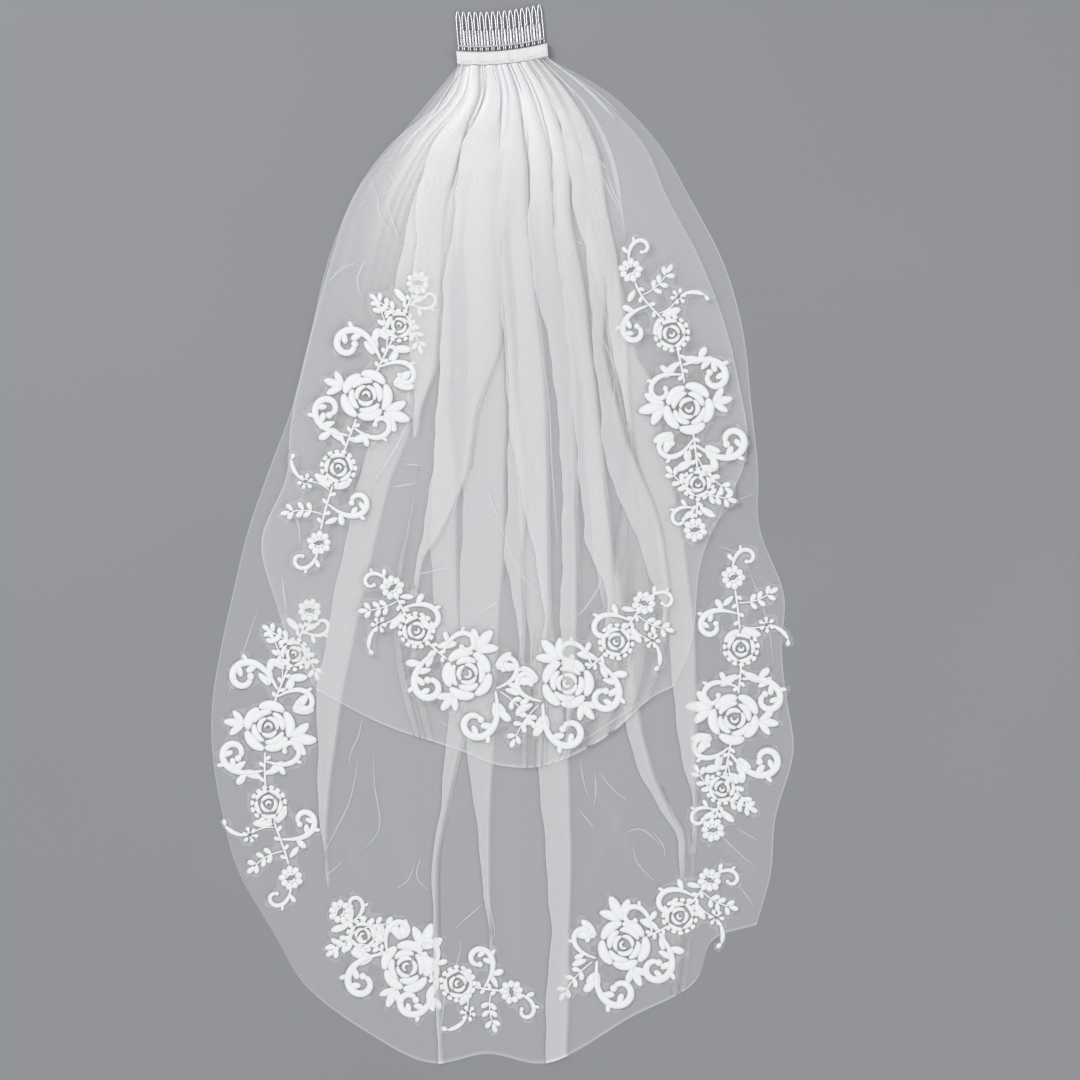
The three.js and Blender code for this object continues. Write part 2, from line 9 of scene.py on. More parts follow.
import bmesh
import bpy
import numpy as np
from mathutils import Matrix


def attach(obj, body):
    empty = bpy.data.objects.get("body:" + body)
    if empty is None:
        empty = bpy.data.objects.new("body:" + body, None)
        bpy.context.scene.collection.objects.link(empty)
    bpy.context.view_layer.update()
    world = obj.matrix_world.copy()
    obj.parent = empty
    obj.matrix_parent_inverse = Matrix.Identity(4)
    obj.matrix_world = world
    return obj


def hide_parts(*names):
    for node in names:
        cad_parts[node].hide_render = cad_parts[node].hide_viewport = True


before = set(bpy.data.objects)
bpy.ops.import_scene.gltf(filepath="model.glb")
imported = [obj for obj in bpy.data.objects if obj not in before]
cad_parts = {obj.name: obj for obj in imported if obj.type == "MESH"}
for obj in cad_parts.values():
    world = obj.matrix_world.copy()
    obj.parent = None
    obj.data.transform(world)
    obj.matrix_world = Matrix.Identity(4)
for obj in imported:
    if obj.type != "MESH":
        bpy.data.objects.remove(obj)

LOG = logging.getLogger("veil")
MM = 0.001
SEED = 1912

Array = np.ndarray


class Side(Enum):
    """The side edge of a tier that a fold belongs to."""

    LEFT = -1
    RIGHT = 1


class Motif(Enum):
    """The kinds of bloom worked in the lace."""

    ROSE = "rose"
    FLOWER = "flower"
    BLOSSOM = "blossom"


class SprayLength(Enum):
    """Which of the two layouts of motifs a spray follows."""

    LONG = "long"
    SHORT = "short"


def smooth(value: Array | float, low: float, high: float) -> Array | float:
    """Eases from 0 at low to 1 at high.

    Args:
        value: The number or numbers to ease.
        low: Where the ease starts.
        high: Where it ends.

    Returns:
        The eased share, between 0 and 1.
    """
    share = np.clip((value - low) / (high - low), 0.0, 1.0)
    return share * share * (3.0 - 2.0 * share)


def mix(first: Array | float, last: Array | float, share: Array | float) -> Array | float:
    """Goes from first to last by a share."""
    return first + (last - first) * share


def spaced(count: int, pitch: float) -> Array:
    """Even places along a line, about its middle."""
    return (np.arange(count) - (count - 1) / 2.0) * pitch


class Shade:
    """A shader socket that takes part in sums, so that an expression adds its Math nodes."""

    def __init__(self, sheet: "FinishSheet", socket: bpy.types.NodeSocket) -> None:
        """Wraps a socket of a finish."""
        self.sheet = sheet
        self.socket = socket

    def _math(self, operation: str, first: "Shade | float", second: "Shade | float" = 0.0) -> "Shade":
        """Adds one Math node.

        Args:
            operation: The node's operation.
            first: Its first value or link.
            second: Its second value or link.

        Returns:
            The result as a new Shade.
        """
        return self.sheet.node("ShaderNodeMath", {"operation": operation}, {0: first, 1: second})

    def __add__(self, other: "Shade | float") -> "Shade":
        """Adds a value."""
        return self._math("ADD", self, other)

    def __sub__(self, other: "Shade | float") -> "Shade":
        """Takes a value away."""
        return self._math("SUBTRACT", self, other)

    def __rsub__(self, other: float) -> "Shade":
        """Takes this from a value."""
        return self._math("SUBTRACT", other, self)

    def __mul__(self, other: "Shade | float") -> "Shade":
        """Multiplies by a value."""
        return self._math("MULTIPLY", self, other)

    def cosine(self) -> "Shade":
        """The cosine of this angle."""
        return self._math("COSINE", self)

    def power(self, exponent: float) -> "Shade":
        """This value to a power."""
        return self._math("POWER", self, exponent)

    def clamped(self) -> "Shade":
        """This value kept between 0 and 1."""
        return self._math("MINIMUM", self._math("MAXIMUM", self, 0.0), 1.0)


class FinishSheet:
    """A node material in the making, round one Principled shader."""

    def __init__(self, name: str) -> None:
        """Starts a material of that name."""
        self.material = bpy.data.materials.new(name)
        self.material.use_nodes = True
        self.tree = self.material.node_tree
        self.shader = self.tree.nodes["Principled BSDF"]

    def node(self, kind: str, settings: dict[str, object], inputs: dict[object, object],
             output: int | str = 0) -> Shade:
        """Adds any node.

        Args:
            kind: The node's type.
            settings: Its properties, which are set first.
            inputs: Values or links of its sockets, by name or number.
            output: The socket that is wanted.

        Returns:
            The wanted output.
        """
        made = self.tree.nodes.new(kind)
        for name, value in settings.items():
            setattr(made, name, value)
        for key, value in inputs.items():
            self._feed(made.inputs[key], value)
        return Shade(self, made.outputs[output])

    def _feed(self, socket: bpy.types.NodeSocket, value: object) -> None:
        """Links a Shade to a socket, or sets a plain value on it."""
        if isinstance(value, Shade):
            self.tree.links.new(value.socket, socket)
        else:
            socket.default_value = value

    def feed(self, values: dict[str, object]) -> None:
        """Sets or links sockets of the shader, by name."""
        for socket, value in values.items():
            self._feed(self.shader.inputs[socket], value)

    def cloth_axes(self) -> tuple[Shade, Shade]:
        """The piece's own cloth coordinates in millimetres, across and along."""
        uv = self.node("ShaderNodeUVMap", {"uv_map": "cloth"}, {})
        across = self.node("ShaderNodeSeparateXYZ", {}, {0: uv}, "X")
        along = self.node("ShaderNodeSeparateXYZ", {}, {0: uv}, "Y")
        return across, along

    def attribute(self, name: str) -> Shade:
        """A number stored on the piece's points."""
        return self.node("ShaderNodeAttribute", {"attribute_name": name}, {}, "Fac")

    def noise(self, scale: float, detail: float) -> Shade:
        """Soft noise over the object, as a value about a half."""
        place = self.node("ShaderNodeTexCoord", {}, {}, "Object")
        return self.node("ShaderNodeTexNoise", {}, {"Vector": place, "Scale": scale, "Detail": detail})

    def tint(self, share: Shade, first: Sequence[float], last: Sequence[float]) -> Shade:
        """A colour between two, by a share.

        Args:
            share: The share of the last colour.
            first: Red, green and blue at 0.
            last: Red, green and blue at 1.

        Returns:
            The mixed colour.
        """
        colours = {"Factor": share, 6: (*first, 1.0), 7: (*last, 1.0)}
        return self.node("ShaderNodeMix", {"data_type": "RGBA"}, colours, 2)

    def bump(self, height: Shade, strength: float, distance: float) -> None:
        """Feeds a height through a Bump node to the shader's normal."""
        sockets = {"Height": height, "Strength": strength, "Distance": distance}
        self.feed({"Normal": self.node("ShaderNodeBump", {}, sockets)})


Colour = tuple[float, float, float]


@dataclass(frozen=True)
class Finish:
    """What all finishes share: each dresses a fresh node material in its own way."""

    def material(self, name: str) -> bpy.types.Material:
        """Makes the finish's material.

        Args:
            name: The material's name.

        Returns:
            The finished material.
        """
        sheet = FinishSheet(name)
        self.dress(sheet)
        return sheet.material

    def dress(self, sheet: FinishSheet) -> None:
        """Sets what is the same all over and links what varies."""
        raise NotImplementedError


@dataclass(frozen=True)
class TulleFinish(Finish):
    """Sheer net: fine hexagonal mesh, brighter along creases and where threads crowd."""

    pitch_mm: float = 2.1
    cover: float = 0.2
    mesh_depth: float = 0.4
    crease_cover: float = 0.6
    gather_cover: float = 0.68
    white: Colour = (0.93, 0.932, 0.935)
    cream: Colour = (0.96, 0.957, 0.95)

    def dress(self, sheet: FinishSheet) -> None:
        """Sets out the tulle's nodes."""
        sheet.feed({"Roughness": 0.62, "Sheen Weight": 0.25, "Sheen Roughness": 0.4})
        across, along = sheet.cloth_axes()
        turn = 2.0 * math.pi / (self.pitch_mm * math.cos(math.pi / 6.0))
        first = (across * turn).cosine()
        slant, rise = -turn * math.sin(math.pi / 6.0), turn * math.cos(math.pi / 6.0)
        second = (across * slant + along * rise).cosine()
        third = (across * slant - along * rise).cosine()
        holes = (first + second + third + 1.5) * (1.0 / 4.5)
        net = (1.0 + self.mesh_depth * 0.5) - holes * self.mesh_depth
        cover = net * self.cover + sheet.attribute("crease") * self.crease_cover
        cover = cover + sheet.attribute("gather") * self.gather_cover
        sheet.feed({"Alpha": cover.clamped(), "Base Color": sheet.tint(holes, self.cream, self.white)})


@dataclass(frozen=True)
class LaceFinish(Finish):
    """Satin-stitched cord: stitches laid across each petal, leaf and scroll, with painted shade in the
    grooves between stitches and along each cord's sides and foot.
    """

    stitch_mm: float = 0.75
    white: Colour = (0.93, 0.93, 0.925)
    painted_shade: Colour = (0.56, 0.565, 0.57)

    def dress(self, sheet: FinishSheet) -> None:
        """Sets out the lace's nodes."""
        sheet.feed({"Roughness": 0.55, "Sheen Weight": 0.2})
        across, along = sheet.cloth_axes()
        turn = 2.0 * math.pi / self.stitch_mm
        stitch = (along * turn + across * (0.35 * turn)).cosine() * 0.5 + 0.5
        fibre = sheet.noise(900.0, 2.0)
        height = stitch * 0.75 + fibre * 0.5
        # Painted shade: the colour greys towards each cord's sides and foot and in the grooves between
        # stitches. The fibre noise adds random tone.
        foot = sheet.attribute("rim").power(6.0)
        bright = (height * 0.35 + 0.65 - foot).clamped()
        sheet.feed({"Base Color": sheet.tint(bright, self.painted_shade, self.white)})
        sheet.bump(height, 0.55, 0.25 * MM)


@dataclass(frozen=True)
class GroundFinish(Finish):
    """The close net that each spray is worked on and trimmed from."""

    pitch_mm: float = 1.5
    cover: float = 0.2
    white: Colour = (0.93, 0.93, 0.93)

    def dress(self, sheet: FinishSheet) -> None:
        """Sets out the ground net's nodes."""
        sheet.feed({"Roughness": 0.65, "Base Color": (*self.white, 1.0)})
        across, along = sheet.cloth_axes()
        turn = 2.0 * math.pi / self.pitch_mm
        grid = (across * turn).cosine() * (along * turn).cosine()
        sheet.feed({"Alpha": (self.cover - grid * (0.4 * self.cover)).clamped()})


@dataclass(frozen=True)
class SatinFinish(Finish):
    """Satin ribbon with a fine rib along its length and a soft gloss."""

    rib_mm: float = 0.55
    white: Colour = (0.85, 0.847, 0.835)
    shade: Colour = (0.7, 0.697, 0.685)

    def dress(self, sheet: FinishSheet) -> None:
        """Sets out the ribbon's nodes."""
        _, along = sheet.cloth_axes()
        turn = 2.0 * math.pi / self.rib_mm
        rib = (along * turn).cosine() * 0.5 + 0.5
        slub = sheet.noise(260.0, 3.0)
        sheet.feed({"Base Color": sheet.tint(slub, self.shade, self.white)})
        sheet.feed({"Roughness": slub * 0.2 + 0.34, "Sheen Weight": 0.15})
        sheet.bump(rib * 0.6 + slub * 0.6, 0.4, 0.12 * MM)


@dataclass(frozen=True)
class WireFinish(Finish):
    """Bright drawn wire with faint drawing lines and a little dulling."""

    steel: Colour = (0.95, 0.95, 0.96)
    dull: Colour = (0.8, 0.8, 0.82)

    def dress(self, sheet: FinishSheet) -> None:
        """Sets out the wire's nodes."""
        across, _ = sheet.cloth_axes()
        wear = sheet.noise(420.0, 4.0)
        lines = (across * 9.0).cosine() * 0.5 + 0.5
        sheet.feed({"Base Color": sheet.tint((wear * 1.6 - 0.3).clamped(), self.dull, self.steel)})
        sheet.feed({"Roughness": wear * 0.2 + 0.24, "Metallic": 1.0})
        sheet.bump(lines * 0.3 + wear, 0.12, 0.08 * MM)


@dataclass(frozen=True)
class FloorFinish(Finish):
    """Plain pale floor."""

    pale: Colour = (0.262, 0.266, 0.274)
    paler: Colour = (0.282, 0.286, 0.294)

    def dress(self, sheet: FinishSheet) -> None:
        """Sets out the floor's nodes."""
        mottle = sheet.noise(3.0, 2.0)
        sheet.feed({"Base Color": sheet.tint(mottle, self.pale, self.paler), "Roughness": 0.85})


class SmoothRun:
    """A curve through points, read by a share of its length."""

    samples = 40

    def __init__(self, points: Array) -> None:
        """Runs a centripetal Catmull-Rom curve through the points.

        Args:
            points: Two or more places in the plane.
        """
        whole = np.vstack([2.0 * points[0] - points[1], points, 2.0 * points[-1] - points[-2]])
        shares = np.linspace(0.0, 1.0, self.samples, endpoint=False)[:, None]
        stretches = [self._stretch(whole[index:index + 4], shares) for index in range(len(points) - 1)]
        self.line = np.vstack([*stretches, points[-1:]])
        steps = np.linalg.norm(np.diff(self.line, axis=0), axis=1)
        self.reach = np.concatenate([[0.0], np.cumsum(steps)])
        self.length = float(self.reach[-1])

    @staticmethod
    def _stretch(four: Array, shares: Array) -> Array:
        """Points between the middle two of four places.

        Args:
            four: The places.
            shares: Where to read between the middle two, as a column.

        Returns:
            The points read.
        """
        gaps = np.maximum(np.linalg.norm(np.diff(four, axis=0), axis=1) ** 0.5, 1e-6)
        slopes = np.diff(four, axis=0) / gaps[:, None]
        leave = slopes[0] - (four[2] - four[0]) / (gaps[0] + gaps[1]) + slopes[1]
        arrive = slopes[1] - (four[3] - four[1]) / (gaps[1] + gaps[2]) + slopes[2]
        square, cube = shares ** 2, shares ** 3
        start = (2 * cube - 3 * square + 1) * four[1] + (cube - 2 * square + shares) * leave * gaps[1]
        end = (3 * square - 2 * cube) * four[2] + (cube - square) * arrive * gaps[1]
        return start + end

    def at(self, share: Array | float) -> Array:
        """Places at shares of the length.

        Args:
            share: One share, or an array of them.

        Returns:
            The places, with x and y last.
        """
        reach = np.asarray(share) * self.length
        columns = [np.interp(reach, self.reach, self.line[:, axis]) for axis in range(2)]
        return np.stack(columns, axis=-1)

    def heading(self, share: float) -> float:
        """The direction of the curve at a share, as an angle."""
        step = 0.004
        ahead = self.at(min(1.0, share + step)) - self.at(max(0.0, share - step))
        return math.atan2(ahead[1], ahead[0])


@dataclass(frozen=True)
class EdgeFold:
    """A place where a side edge is pushed out, or drawn in where negative, in millimetres."""

    side: Side
    down: float
    span: float
    push: float


@dataclass(frozen=True)
class Strip:
    """A laid fold that shows as a strip: rows of y, far edge and fold line, in millimetres, and its lift."""

    rows: Sequence[tuple[float, float, float]]
    lift: float = 1.0


@dataclass(frozen=True)
class Fold:
    """A fold on every row of a tier: shares of its fold line and far edge, and how far it is laid."""

    turn: int
    line: Array
    far: Array
    laid: Array
    lift: float


@dataclass(frozen=True)
class Ridge:
    """A soft ridge between two places in millimetres, with its half width and height."""

    start: tuple[float, float]
    end: tuple[float, float]
    half: float
    height: float
    light: float


@dataclass(frozen=True)
class CombPlace:
    """Where the comb and its band lie, and the sizes they share, in millimetres."""

    x: float = 0.4
    y: float = 420.0
    tilt_degrees: float = 5.0
    gather_length: float = 79.8
    clearance: float = 0.3
    band_length: float = 81.0
    band_depth: float = 12.0
    band_height: float = 7.8
    band_sag: float = 3.4

    def world(self, local: Array) -> Array:
        """Turns places beside the comb into places of the veil.

        Args:
            local: Places with x along the band and y up from its lower edge.

        Returns:
            The same places in the veil's frame, in millimetres, with the comb bowed.
        """
        angle = math.radians(self.tilt_degrees)
        along = local[..., 0]
        up = local[..., 1] - self.band_sag * (1.0 - (2.0 * along / self.band_length) ** 2)
        turned_x = along * math.cos(angle) - up * math.sin(angle)
        turned_y = along * math.sin(angle) + up * math.cos(angle)
        return np.stack([turned_x + self.x, turned_y + self.y], axis=-1)

    def gathered_edge(self, share: Array | float) -> Array:
        """Places along the gathered edge, from its left end to its right."""
        along = (np.asarray(share) - 0.5) * self.gather_length
        return self.world(np.stack([along, np.full_like(along, -self.clearance)], axis=-1))


COMB_PLACE = CombPlace()


@dataclass
class Panel:
    """The plan of a tier, blended from its gathered edge, side edges and hem, in millimetres."""

    sections: Sequence[tuple[float, float, float]]
    hem: Sequence[tuple[float, float]]
    edge_folds: Sequence[EdgeFold]
    edge_reach: float = 0.25

    def __post_init__(self) -> None:
        """Runs the side edges and the hem."""
        rows = np.array(self.sections, float)
        hem = np.array(self.hem, float)
        band = COMB_PLACE.gathered_edge(np.array([0.0, 1.0]))
        self.left = SmoothRun(np.vstack([band[:1], rows[:, [1, 0]], hem[:1]]))
        self.right = SmoothRun(np.vstack([band[1:], rows[:, [2, 0]], hem[-1:]]))
        self.foot = SmoothRun(hem)

    def at(self, across: Array | float, down: Array | float) -> Array:
        """Places of the panel.

        Args:
            across: Shares from the left edge to the right.
            down: Shares from the band to the hem, of the same shape.

        Returns:
            The places, with x and y last.
        """
        across, down = np.broadcast_arrays(np.asarray(across, float), np.asarray(down, float))
        inside = np.clip(across, 0.0, 1.0)
        share, fall = inside[..., None], down[..., None]
        sides = mix(self.left.at(down), self.right.at(down), share)
        ends = mix(COMB_PLACE.gathered_edge(inside), self.foot.at(inside), fall)
        top = mix(self.left.at(0.0), self.right.at(0.0), share)
        bottom = mix(self.foot.at(0.0), self.foot.at(1.0), share)
        places = sides + ends - mix(top, bottom, fall)
        places[..., 0] += self._edge_shift(inside, down)
        return places

    def _edge_shift(self, across: Array, down: Array) -> Array:
        """How far the folds of the side edges move places across.

        Args:
            across: Shares from the left edge to the right.
            down: Shares from the band to the hem.

        Returns:
            The shift in millimetres.
        """
        shift = np.zeros_like(across)
        for fold in self.edge_folds:
            from_edge = across if fold.side is Side.LEFT else 1.0 - across
            swell = np.exp(-(((down - fold.down) / fold.span) ** 2))
            hold = np.maximum(0.0, 1.0 - from_edge / self.edge_reach) ** 2
            shift += fold.side.value * fold.push * swell * hold
        return shift

    def shares(self, places: Array) -> tuple[Array, Array]:
        """Finds where places of the plan lie on the panel, by stepping towards them.

        Args:
            places: Places, with x and y last.

        Returns:
            Shares across and down.
        """
        step, most, steps = 1e-3, 0.998, 30
        across = np.full(places.shape[:-1], 0.5)
        down = np.clip((self.left.line[0, 1] - places[..., 1]) / np.ptp(self.left.line[:, 1]), 0.0, most)
        for _ in range(steps):
            here = self.at(across, down)
            wide = (self.at(across + step, down) - here) / step
            fall = (self.at(across, down + step) - here) / step
            miss = places - here
            area = wide[..., 0] * fall[..., 1] - wide[..., 1] * fall[..., 0]
            sideways = (miss[..., 0] * fall[..., 1] - miss[..., 1] * fall[..., 0]) / area
            downward = (wide[..., 0] * miss[..., 1] - wide[..., 1] * miss[..., 0]) / area
            across = np.clip(across + np.clip(sideways, -0.1, 0.1), 0.0, most)
            down = np.clip(down + np.clip(downward, -0.1, 0.1), 0.0, most)
        return across, down

    def spread(self, across: Array, down: Array) -> Array:
        """Millimetres of width for a whole share across."""
        step = 0.01
        wide = self.at(across + step, down) - self.at(across - step, down)
        return np.linalg.norm(wide, axis=-1) / (2.0 * step)


# A fold's section from its fold line to the panel again: across in fold widths, in overhangs and in
# ramps, its level, and how bright its edge is.
FOLD_STATIONS = (
    (0.00, -0.6, 0.0, 0.00, 0.00),
    (0.00, 0.25, 0.0, 0.50, 0.80),
    (0.00, -0.6, 0.0, 1.00, 0.12),
    (-0.50, 0.0, 0.0, 1.00, 0.12),
    (-1.00, 0.6, 0.0, 1.00, 0.12),
    (-1.00, -0.25, 0.0, 1.50, 1.00),
    (-1.00, 0.6, 0.0, 2.00, 0.14),
    (-0.50, 0.3, 0.0, 2.00, 0.12),
    (0.00, 1.1, 0.0, 2.00, 0.30),
    (0.00, 1.1, 0.5, 1.00, 0.05),
    (0.00, 1.1, 1.0, 0.00, 0.00),
)


@dataclass
class TulleTier:
    """One tier of tulle as a thin shell with its laid folds, gathers and creases."""

    name: str
    panel: Panel
    underside: float
    rows: int
    columns: int
    strips: Sequence[Strip]
    gathers: int
    ridges: Sequence[Ridge]
    pinches: Sequence[Sequence[tuple[float, float]]]
    flat: tuple[float, float]
    cut_area: float
    layer: float = 1.3
    wall: float = 1.0
    dense_drop: float = 0.2
    edge_light: float = 0.4
    wander: float = 0.7
    pinch_width: float = 1.9
    gather_ends: tuple[float, float] = (0.08, 0.32)
    gather_width: tuple[float, float] = (3.0, 8.0)
    gather_lift: tuple[float, float] = (0.35, 0.7)
    swell: float = 0.3

    @staticmethod
    def _eased(down: Array, marks: Array, values: Array) -> Array:
        """Runs smoothly through values at marks of the drop.

        Args:
            down: The rows' shares of the drop.
            marks: Where the values lie, growing.
            values: The values.

        Returns:
            A value for every row.
        """
        window = np.hanning(11)
        half = len(window) // 2
        plain = np.pad(np.interp(down, marks, values), half, mode="edge")
        return np.convolve(plain, window / window.sum(), mode="valid")

    def _strip_fold(self, strip: Strip, down: Array) -> Fold:
        """Turns a strip into a fold on every row.

        Args:
            strip: The strip.
            down: The rows' shares of the drop.

        Returns:
            The fold.
        """
        rows = np.array(strip.rows, float)
        edges = []
        for column in (1, 2):
            across, marks = self.panel.shares(rows[:, [column, 0]])
            edges.append(self._eased(down, marks, across))
        far, line = edges
        start, end = marks[0], marks[-1]
        laid = smooth(down, start - 0.05, start - 0.01) * (1.0 - smooth(down, end + 0.01, end + 0.05))
        phase = 40.0 * line[0]
        uneven = np.sin(61.0 * down + phase) + 0.6 * np.sin(137.0 * down + 2.0 * phase)
        far = far + self.wander * uneven * smooth(down, 0.05, 0.2) / self.panel.spread(line, down)
        return Fold(1, line, far, laid, strip.lift)

    def _folds(self, down: Array) -> list[Fold]:
        """All folds from left to right: the strips, and short gathers between them by the band.

        Args:
            down: The rows' shares of the drop.

        Returns:
            The folds in order.
        """
        draw = np.random.default_rng(SEED + self.rows)
        strips = [self._strip_fold(strip, down) for strip in self.strips]
        strips.sort(key=lambda fold: fold.line[0])
        lines = [np.zeros_like(down), *[fold.line for fold in strips], np.ones_like(down)]
        folds: list[Fold] = []
        for index, (before, after) in enumerate(zip(lines, lines[1:])):
            for place in range(self.gathers):
                line = mix(before, after, (place + draw.uniform(0.35, 0.65)) / self.gathers)
                ends, turn = draw.uniform(*self.gather_ends), int(draw.choice((-1, 1)))
                laid = 1.0 - smooth(down, 0.35 * ends, ends)
                width = mix(0.9, draw.uniform(*self.gather_width), smooth(down, 0.0, 0.22)) * laid
                far = line - turn * width / self.panel.spread(line, down)
                folds.append(Fold(turn, line, far, laid, draw.uniform(*self.gather_lift)))
            folds.extend(strips[index:index + 1])
        return folds

    def _fold_columns(self, fold: Fold, down: Array) -> tuple[Array, Array, Array]:
        """Where the stations of one fold lie on every row.

        Args:
            fold: The fold.
            down: The rows' shares of the drop.

        Returns:
            Shares across, levels in millimetres and edge brightness, by row and station.
        """
        table = np.array(FOLD_STATIONS)[None]
        spring = smooth(down, 0.0, 0.2)[:, None]
        spread = self.panel.spread(fold.line, down)[:, None]
        laid = fold.laid[:, None]
        slack = table[..., 1] * mix(0.3, 0.9, spring) + table[..., 2] * mix(0.5, 4.0, spring)
        run = table[..., 0] * (fold.line - fold.far)[:, None]
        folded = run + fold.turn * slack * mix(0.35, 1.0, fold.lift) / spread
        order = np.arange(table.shape[1]) - (table.shape[1] - 1) / 2.0
        even = fold.turn * order[None] * mix(0.35, 1.1, spring) / spread
        across = fold.line[:, None] + mix(even, folded, smooth(laid, 0.0, 0.25))
        level = table[..., 3] * laid * self.layer * fold.lift
        light = table[..., 4] * smooth(laid, 0.1, 0.6) * mix(0.4, 1.0, fold.lift)
        step = fold.turn
        return across[:, ::step], level[:, ::step], light[:, ::step]

    def _columns(self, down: Array) -> tuple[Array, Array, Array]:
        """Every column of the tier on every row, plain cloth shared out between the folds.

        Args:
            down: The rows' shares of the drop.

        Returns:
            Shares across, levels and edge brightness, by row and column.
        """
        edge = np.zeros((len(down), 1))
        folds = [self._fold_columns(fold, down) for fold in self._folds(down)]
        folds.append((edge + 1.0, edge, edge))
        bounds = [edge, *[fold[0] for fold in folds]]
        gaps = [max(0.0, float(np.median(after[:, 0] - before[:, -1])))
                for before, after in zip(bounds, bounds[1:])]
        plain = self.columns - sum(fold[0].shape[1] for fold in folds) - 1
        sheets = ([edge], [edge], [edge])
        for index, (gap, fold) in enumerate(zip(gaps, folds)):
            count = max(1, round(plain * gap / sum(gaps)))
            shares = (np.arange(count) + 1.0) / (count + 1.0)
            between = mix(bounds[index][:, -1:], fold[0][:, :1], shares[None])
            for sheet, flat, laid in zip(sheets, (between, 0.0 * between, 0.0 * between), fold):
                sheet.extend((flat, laid))
        return tuple(np.hstack(sheet) for sheet in sheets)

    def _ridge_relief(self, places: Array) -> tuple[Array, Array]:
        """The height and brightness that the soft ridges add.

        Args:
            places: The points of the shell in plan, in millimetres.

        Returns:
            Height in millimetres and brightness at each point.
        """
        height = np.zeros(places.shape[:-1])
        light = np.zeros(places.shape[:-1])
        for ridge in self.ridges:
            run = np.subtract(ridge.end, ridge.start)
            length = float(np.hypot(*run))
            ahead = run / length
            offset = places - np.array(ridge.start)
            along = (offset @ ahead) / length
            aside = offset @ np.array([-ahead[1], ahead[0]])
            ends = np.clip(along * (1.0 - along) * 4.0, 0.0, 1.0) ** 0.7
            crest = np.exp(-((aside / ridge.half) ** 2)) * ends
            height += ridge.height * crest
            light += ridge.light * crest
        return height, light

    def build(self, material: bpy.types.Material) -> bpy.types.Object:
        """Makes the shell.

        Args:
            material: The tulle.

        Returns:
            The tier's piece.
        """
        down = np.linspace(0.0, 1.0, self.rows)
        across, level, light = self._columns(down)
        fall = np.broadcast_to(down[:, None], across.shape)
        places = self.panel.at(across, fall)
        ridge, ridge_light = self._ridge_relief(places)
        x, y = places[..., 0], places[..., 1]
        swell = np.sin(x / 37.0 + 0.9 * np.sin(y / 71.0)) * np.sin(y / 53.0 + 0.7 * np.sin(x / 45.0))
        height = self.underside + self.wall / 2.0 + level + ridge
        height = height + self.swell * swell * smooth(fall, 0.05, 0.3)
        points = np.dstack([places, height])
        middle = across.shape[1] // 2
        wide = np.cumsum(np.linalg.norm(np.diff(points, axis=1, prepend=points[:, :1]), axis=2), axis=1)
        long = np.cumsum(np.linalg.norm(np.diff(points, axis=0, prepend=points[:1]), axis=2), axis=0)
        cloth = np.dstack([wide - wide[:, middle:middle + 1], long])
        light = light + ridge_light
        light[:, [0, -1]] += self.edge_light
        light[-1] += self.edge_light
        numbers = {"crease": light, "gather": self._density(across, fall)}
        piece = grid_piece(self.name + "_tulle", points, cloth, numbers)
        return fit_out(piece, [material], [self.name])

    def _density(self, across: Array, fall: Array) -> Array:
        """How closely the net is crowded below the band, in fine streaks.

        Args:
            across: Shares across.
            fall: Shares of the drop.

        Returns:
            A share, most in the middle at the band.
        """
        middle = smooth(across, -0.02, 0.12) * (1.0 - smooth(across, 0.66, 0.88))
        streak = 0.8 + 0.2 * np.sin(150.0 * across + 3.0 * np.sin(41.0 * across))
        return np.exp(-((fall / self.dense_drop) ** 2)) * middle * streak

    def pinched(self, material: bpy.types.Material) -> bpy.types.Object:
        """Makes the sharp creases, each a slender roll of cloth along a bent line.

        Args:
            material: The close-rolled tulle.

        Returns:
            The creases' piece.
        """
        bench = Workbench()
        for line in self.pinches:
            run = SmoothRun(np.array(line, float))
            count = max(10, int(run.length / 5.0))
            path = run.at(np.linspace(0.0, 1.0, 2 * count))
            base = self.underside + self.wall / 2.0 + 0.3
            bench.sweep(path, rounded(self.pinch_width), steady(1.0), base, count, 6, 0.5)
        return fit_out(bench.piece(self.name + "_creases"), [material])

    def declare(self, piece: bpy.types.Object, sewn: Sequence[bpy.types.Object]) -> None:
        """Takes the tier's piece and the pieces that it carries, and does nothing with them."""


def grid_piece(name: str, points: Array, cloth: Array, numbers: dict[str, Array]) -> bpy.types.Object:
    """Makes a sheet from a grid whose points are moved into place.

    Args:
        name: The piece's name.
        points: Places in millimetres, by row from the band down and by column from the left.
        cloth: The cloth's own coordinates at each point, in millimetres.
        numbers: Numbers to keep on the points, by name.

    Returns:
        The new piece, at the origin.
    """
    rows, columns = points.shape[:2]
    shaper = bmesh.new()
    bmesh.ops.create_grid(shaper, x_segments=columns - 1, y_segments=rows - 1, size=1.0)
    mesh = made_mesh(name, shaper)
    plain = np.zeros(len(mesh.vertices) * 3)
    mesh.vertices.foreach_get("co", plain)
    plain = plain.reshape(-1, 3)
    column = np.rint((plain[:, 0] + 1.0) / 2.0 * (columns - 1)).astype(int)
    row = np.rint((1.0 - plain[:, 1]) / 2.0 * (rows - 1)).astype(int)
    mesh.vertices.foreach_set("co", np.ascontiguousarray(points[row, column] * MM).ravel())
    dress(mesh, cloth[row, column], {key: value[row, column] for key, value in numbers.items()})
    return linked(name, mesh)


def fit_out(piece: bpy.types.Object, finishes: Sequence[bpy.types.Material],
            nodes: Sequence[str] = ()) -> bpy.types.Object:
    """Gives a piece its finishes and tells the frame what it is.

    Args:
        piece: The piece.
        finishes: Its materials, in the order that its faces number them.
        nodes: The solids that it stands for, if any.

    Returns:
        The same piece.
    """
    for finish in finishes:
        piece.data.materials.append(finish)
    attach(piece, "root")
    if nodes:
        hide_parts(*nodes)
    return piece


